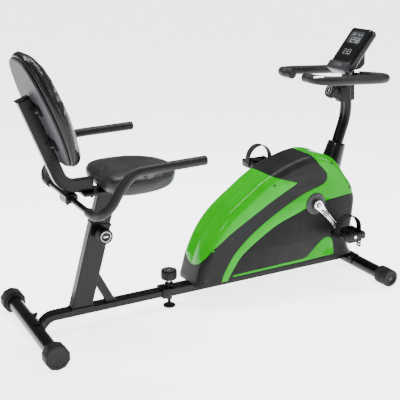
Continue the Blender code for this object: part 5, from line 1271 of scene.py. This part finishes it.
def console():
    width, tall, deep = 0.125, 0.198, 0.041
    body = face_block(width, 0.0, tall, 0.0, deep, 0.0135, segments=6)
    body = cut(body, face_plate(width - 0.017, 0.044, tall - 0.008, -0.02, 0.0024, 0.014))
    place_piece(body, "console_case", GLOSS_BLACK, "front_frame", ["console_housing"], 40)
    glass = face_plate(width - 0.018, 0.0445, tall - 0.0085, 0.0009, 0.0023, 0.0135)
    place_piece(glass, "console_lens", GLOSS_BLACK, "front_frame", ["console_window"])
    display = face_plate(0.078, 0.122, 0.178, 0.0006, 0.0010, 0.0100)
    place_piece(display, "console_display", LCD, "front_frame")
    ink = []
    for text, up, height, start, pitch in (("1258", 0.1385, 0.022, 0.0270, 0.0170),
                                           ("302", 0.164, 0.010, 0.0290, 0.0090),
                                           ("815", 0.164, 0.010, -0.0080, 0.0090)):
        for number, value in enumerate(text):
            ink += digit(value, up, start - number * pitch, height, 0.0003)
    place_piece(merged(*ink), "console_numerals", LCD_INK, "front_frame")
    legend = []
    for row in range(3):
        for column in range(3):
            y = 0.016 - column * 0.016
            up = 0.094 - row * 0.0095
            legend.append(block((0.0003, 0.0120, 0.0011), console_point(up, 0.0006, y), CONSOLE_TURN))
            legend.append(block((0.0003, 0.0011, 0.0070), console_point(up - 0.0030, 0.0006, y - 0.0055),
                                CONSOLE_TURN))
    place_piece(merged(*legend), "console_legend", LEGEND, "front_frame")
    lip = face_block(width - 0.002, 0.001, 0.0380, -0.0045, 0.016, 0.0060)
    lip = cut(lip, face_plate(0.0524, 0.0105, 0.0295, -0.03, 0.030, 0.003))
    place_piece(lip, "console_lower_lip", LIP_PP, "front_frame", angle=40)
    key = face_plate(0.0508, 0.0112, 0.0288, -0.0042, 0.0030, 0.0030)
    place_piece(soften(key, 0.0008, 2, 40), "console_key_cap", GREY_PP, "console_key", ["console_button"])
    # A near-black ring painted along the join of the case halves as the shade in that seam.
    seam = cut(face_block(width + 0.0010, -0.0005, tall + 0.0005, 0.0215, 0.0225, 0.0004),
               face_block(width - 0.004, 0.002, tall - 0.002, 0.0, 0.06))
    place_piece(seam, "console_case_seam_shade", SHADE_PAINT, "front_frame")
    frame["nodes"]["console_bracket"].data.materials.clear()
    frame["nodes"]["console_bracket"].data.materials.append(NYLON)


# ----------------------------------------------------------------- cranks ----
def crank_arm(side, name):
    angle = atan2(*[(joint_place(name + "_pedal_spin") - CRANK)[i] for i in (2, 0)])
    reach = Vector((cos(angle), 0, sin(angle)))
    across = Vector((-sin(angle), 0, cos(angle)))
    inner, outer = 0.098, 0.111
    outline = [(0.0, 0.0190), (0.022, 0.0150), (0.060, 0.0105), (0.120, 0.0092), (0.148, 0.0110),
               (CRANK_LENGTH, 0.0145)]
    upper = [(p.x, p.y) for p in spline([(a, b, 0) for a, b in outline], 6)]
    nose = [(CRANK_LENGTH + 0.0145 * sin(a),
             0.0145 * cos(a)) for a in [radians(d) for d in range(10, 180, 10)]]
    heel = [(-0.0190 * sin(a), -0.0190 * cos(a)) for a in [radians(d) for d in range(10, 180, 10)]]
    shape = upper + nose + [(a, -b) for a, b in upper[::-1]] + heel
    points = [CRANK + reach * a + across * b for a, b in shape]
    low, high = sorted((side * inner, side * outer))
    arm = plate([[(p.x, p.z) for p in points]], low, high, 0.0022, 3)
    slot = [CRANK + reach * a + across * b for a,
            b in [(0.032, 0.0)] + arc((0.036, 0), 0.0042, pi / 2, 3 * pi / 2, 8)
            + arc((0.136, 0), 0.0042, -pi / 2, pi / 2, 8)][1:]
    low, high = sorted((side * (outer - 0.0025), side * (outer + 0.01)))
    arm = cut(arm, plate([[(p.x, p.z) for p in slot]], low, high))
    body = "crank"
    place_piece(soften(arm, 0.0005, 2, 35), "crank_forging_" + name, CHROME, body, ["crank_arm_" + name], 35)
    face = CRANK + Vector((0, side * outer, 0))
    cap = lathe([(0.0, 0.0036), (0.0060, 0.0036), (0.0100, 0.0022), (0.0120, 0.0), (0.0, 0.0)], face,
                (0, side, 0), 40)
    place_piece(cap, "crank_dust_cap_" + name, NYLON, body)
    band = CRANK + reach * 0.150
    mark = block((0.010, 0.0142, 0.0235), band + Vector((0, side * (inner + outer) / 2, 0)),
                 leaning(pi / 2 - angle)
                 @ Matrix.Rotation(pi / 2, 3, "Y"), 0.002)
    place_piece(mark, "crank_tape_" + name, RED_MARK, body)
    end = CRANK + reach * CRANK_LENGTH
    spindle = lathe([(0.0, 0.100), (0.0058, 0.100), (0.0062, 0.0990), (0.0062, 0.0060), (0.0092, 0.0060),
                     (0.0092, 0.0),
                     (0.0, 0.0)], end + Vector((0, side * (outer - 0.001), 0)), (0, side, 0), 40)
    place_piece(spindle, "pedal_spindle_" + name, CHROME, body)
    pedal(side, name, end)


def pedal(side, name, centre):
    """Caged nylon pedal with toothed edges and a rubber strap."""
    body = name + "_pedal"
    low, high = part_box("pedal_" + name)
    mid = Vector((centre.x, (low.y + high.y) / 2, centre.z))
    long, wide, thick = high.x - low.x, high.y - low.y, 0.026
    cage = block((long, wide, thick), mid, bevel=0.005)
    for offset in (-0.029, 0.029):
        for row in (-0.022, 0.022):
            cage = cut(cage,
                       block((0.024, 0.034, 0.05), mid + Vector((offset, row, 0)), bevel=0.002, segments=1))
    teeth = []
    for edge in (-1, 1):
        for number in range(9):
            y = mid.y + (number - 4) * wide * 0.105
            for top in (-1, 1):
                teeth.append(block((0.0062, 0.0058, 0.0045), Vector((mid.x + edge * (long / 2 - 0.0045), y,
                                                                   mid.z + top * (thick / 2 + 0.0008))),
                                                                   bevel=0.0012,
                                   segments=1))
    barrel = lathe([(0.0066, 0.0), (0.0120, 0.0), (0.0128, 0.001), (0.0128, wide - 0.012),
                    (0.0110, wide - 0.009),
                    (0.0, wide - 0.009)],
                    Vector((mid.x, low.y + 0.004 if side > 0 else high.y - 0.004, mid.z)),
                   (0, side, 0), 40)
    weight = block((0.046, wide - 0.020, 0.020), mid + Vector((0, 0, -0.018)), bevel=0.006)
    place_piece(merged(cage, barrel, weight, *teeth), "pedal_cage_" + name, NYLON, body, ["pedal_" + name],
                40)
    for edge in (-1, 1):
        lens = block((0.0010, 0.030, 0.009), mid + Vector((edge * (long / 2 + 0.0002), side * 0.026, 0)),
                     bevel=0.0004)
        place_piece(lens, "pedal_reflector_%s_%s" % (name, "front" if edge > 0 else "rear"), GREY_PP, body)
    strap(name, mid, long, thick, body)


def strap(name, mid, long, thick, body):
    """Moulded strap: a ribbed arch over the shoe, and a slotted tail hanging outside."""
    half = long / 2 + 0.0019
    path = [mid + Vector((-half, 0, -thick / 2 + 0.004))]
    for step in range(33):
        a = pi - pi * step / 32
        lift = sin(a) if 0 < step < 32 else 0.0
        path.append(mid + Vector((cos(a) * half, 0, thick / 2 + lift * 0.0633)))
    path.append(mid + Vector((half, 0, -thick / 2 + 0.004)))
    path = spline(path, 2)
    sections = []
    for index in range(len(path)):
        share = index / (len(path) - 1)
        width = 0.0130 + 0.0050 * sin(pi * share)
        rib = 0.0004 * (1 if index % 2 else -1)
        sections.append([(width, 0.0013 + rib), (-width, 0.0013 + rib), (-width, -0.0012), (width, -0.0012)])
    flat = [[(y, x) for x, y in section] for section in sections]
    arch = sweep(path, flat)
    place_piece(arch, "strap_arch_" + name, RUBBER, body, ["pedal_strap_" + name], 50)
    for edge in (-1, 1):
        buckle = block((0.0060, 0.036, 0.012), mid + Vector((edge * (half + 0.0006), 0, 0.002)), bevel=0.0018)
        place_piece(buckle, "strap_buckle_%s_%s" % (name, "front" if edge > 0 else "rear"), NYLON, body)
    tail = strap_tail()
    tail.data.transform(Matrix.Translation(mid + Vector((half + 0.0036, 0, 0.0))))
    place_piece(tail, "strap_tail_" + name, RUBBER, body, angle=50)


def strap_tail():
    """The strap's loose end, hanging below the buckle, with a row of slots."""
    tail = block((0.0024, 0.026, 0.060), (0, 0, -0.034), bevel=0.0010, segments=2)
    for number in range(4):
        tail = cut(tail,
                   block((0.02, 0.014, 0.0042), (0, 0, -0.020 - number * 0.0115), bevel=0.0012, segments=1))
    return tail


def drive_finishes():
    """Pieces inside and under the shroud keep their shapes and get their metals."""
    for node, material in (("crank_axle", ZINC), ("drive_pulley", NYLON), ("flywheel", CAST_IRON),
                           ("flywheel_axle", ZINC), ("magnet_arm", ZINC), ("drive_belt", BELT_RUBBER)):
        obj = frame["nodes"][node]
        obj.data.shade_smooth()
        obj.data.set_sharp_from_angle(angle=radians(35))
        obj.data.materials.clear()
        obj.data.materials.append(material)


# ---------------------------------------------------------- stage and view ----
def floor():
    material, tree, shader = new_material("studio_floor", IOR=1.45)
    place = mottle(tree, shader, "#f2f2f2", "#f6f6f6", 0.500, (0.55, 0.65))
    grain(tree, shader, place, 0.0500, 0.0001, 0.1)
    shader.inputs["Emission Color"].default_value = (1, 1, 1, 1)
    shader.inputs["Emission Strength"].default_value = 3.4
    bm = bmesh.new()
    bmesh.ops.create_grid(bm, x_segments=2, y_segments=2, size=30.0)
    ground = from_bmesh(bm)
    ground.name = "studio_floor"
    ground.data.materials.append(material)


def lamp(name, place, target, size, power):
    light = bpy.data.lights.new(name, "AREA")
    light.shape = "RECTANGLE"
    light.size, light.size_y = size
    light.energy = power
    obj = bpy.data.objects.new(name, light)
    obj.location = place
    obj.rotation_euler = (Vector(target) - Vector(place)).to_track_quat("-Z", "Y").to_euler()
    bpy.context.scene.collection.objects.link(obj)


def studio():
    world = bpy.data.worlds.new("studio")
    world.use_nodes = True
    world.node_tree.nodes["Background"].inputs["Color"].default_value = (1, 1, 1, 1)
    world.node_tree.nodes["Background"].inputs["Strength"].default_value = 0.22
    bpy.context.scene.world = world
    lamp("top_strip", (0.2, 0.5, 3.0), (0, 0.0, 0.3), (3.4, 0.5), 190)
    lamp("key_softbox", (-2.4, -2.4, 2.9), (0, 0, 0.5), (1.2, 0.7), 60)
    lamp("front_softbox", (2.6, -1.6, 1.8), (0.3, 0, 0.5), (0.5, 1.6), 36)


def camera():
    view = bpy.data.cameras.new("camera")
    view.lens = 73.32
    view.sensor_width = 36.0
    eye = bpy.data.objects.new("camera", view)
    eye.location = (along(-0.7201), -2.5566, 1.3341)
    eye.rotation_euler = (radians(90 - 17.73), 0, radians(-28.49))
    bpy.context.scene.collection.objects.link(eye)
    bpy.context.scene.camera = eye


camera()
floor()
studio()
for node, body in (("rear_stabiliser", "rear_slide"), ("front_stabiliser", "front_frame")):
    stabiliser(node, body)
for side, name in SIDES:
    rear_cap(side, name)
    front_cap(side, name)
saddle_bolts()
frame_finishes()
seat_cushion()
backrest()
side_handles()
seat_pull_knob()
rail_pull_knob()
shroud()
axle_covers()
handle_post()
post_sleeve()
handlebar()
bar_clamp()
resistance_dial()
console()
for side, name in SIDES:
    crank_arm(side, name)
drive_finishes()
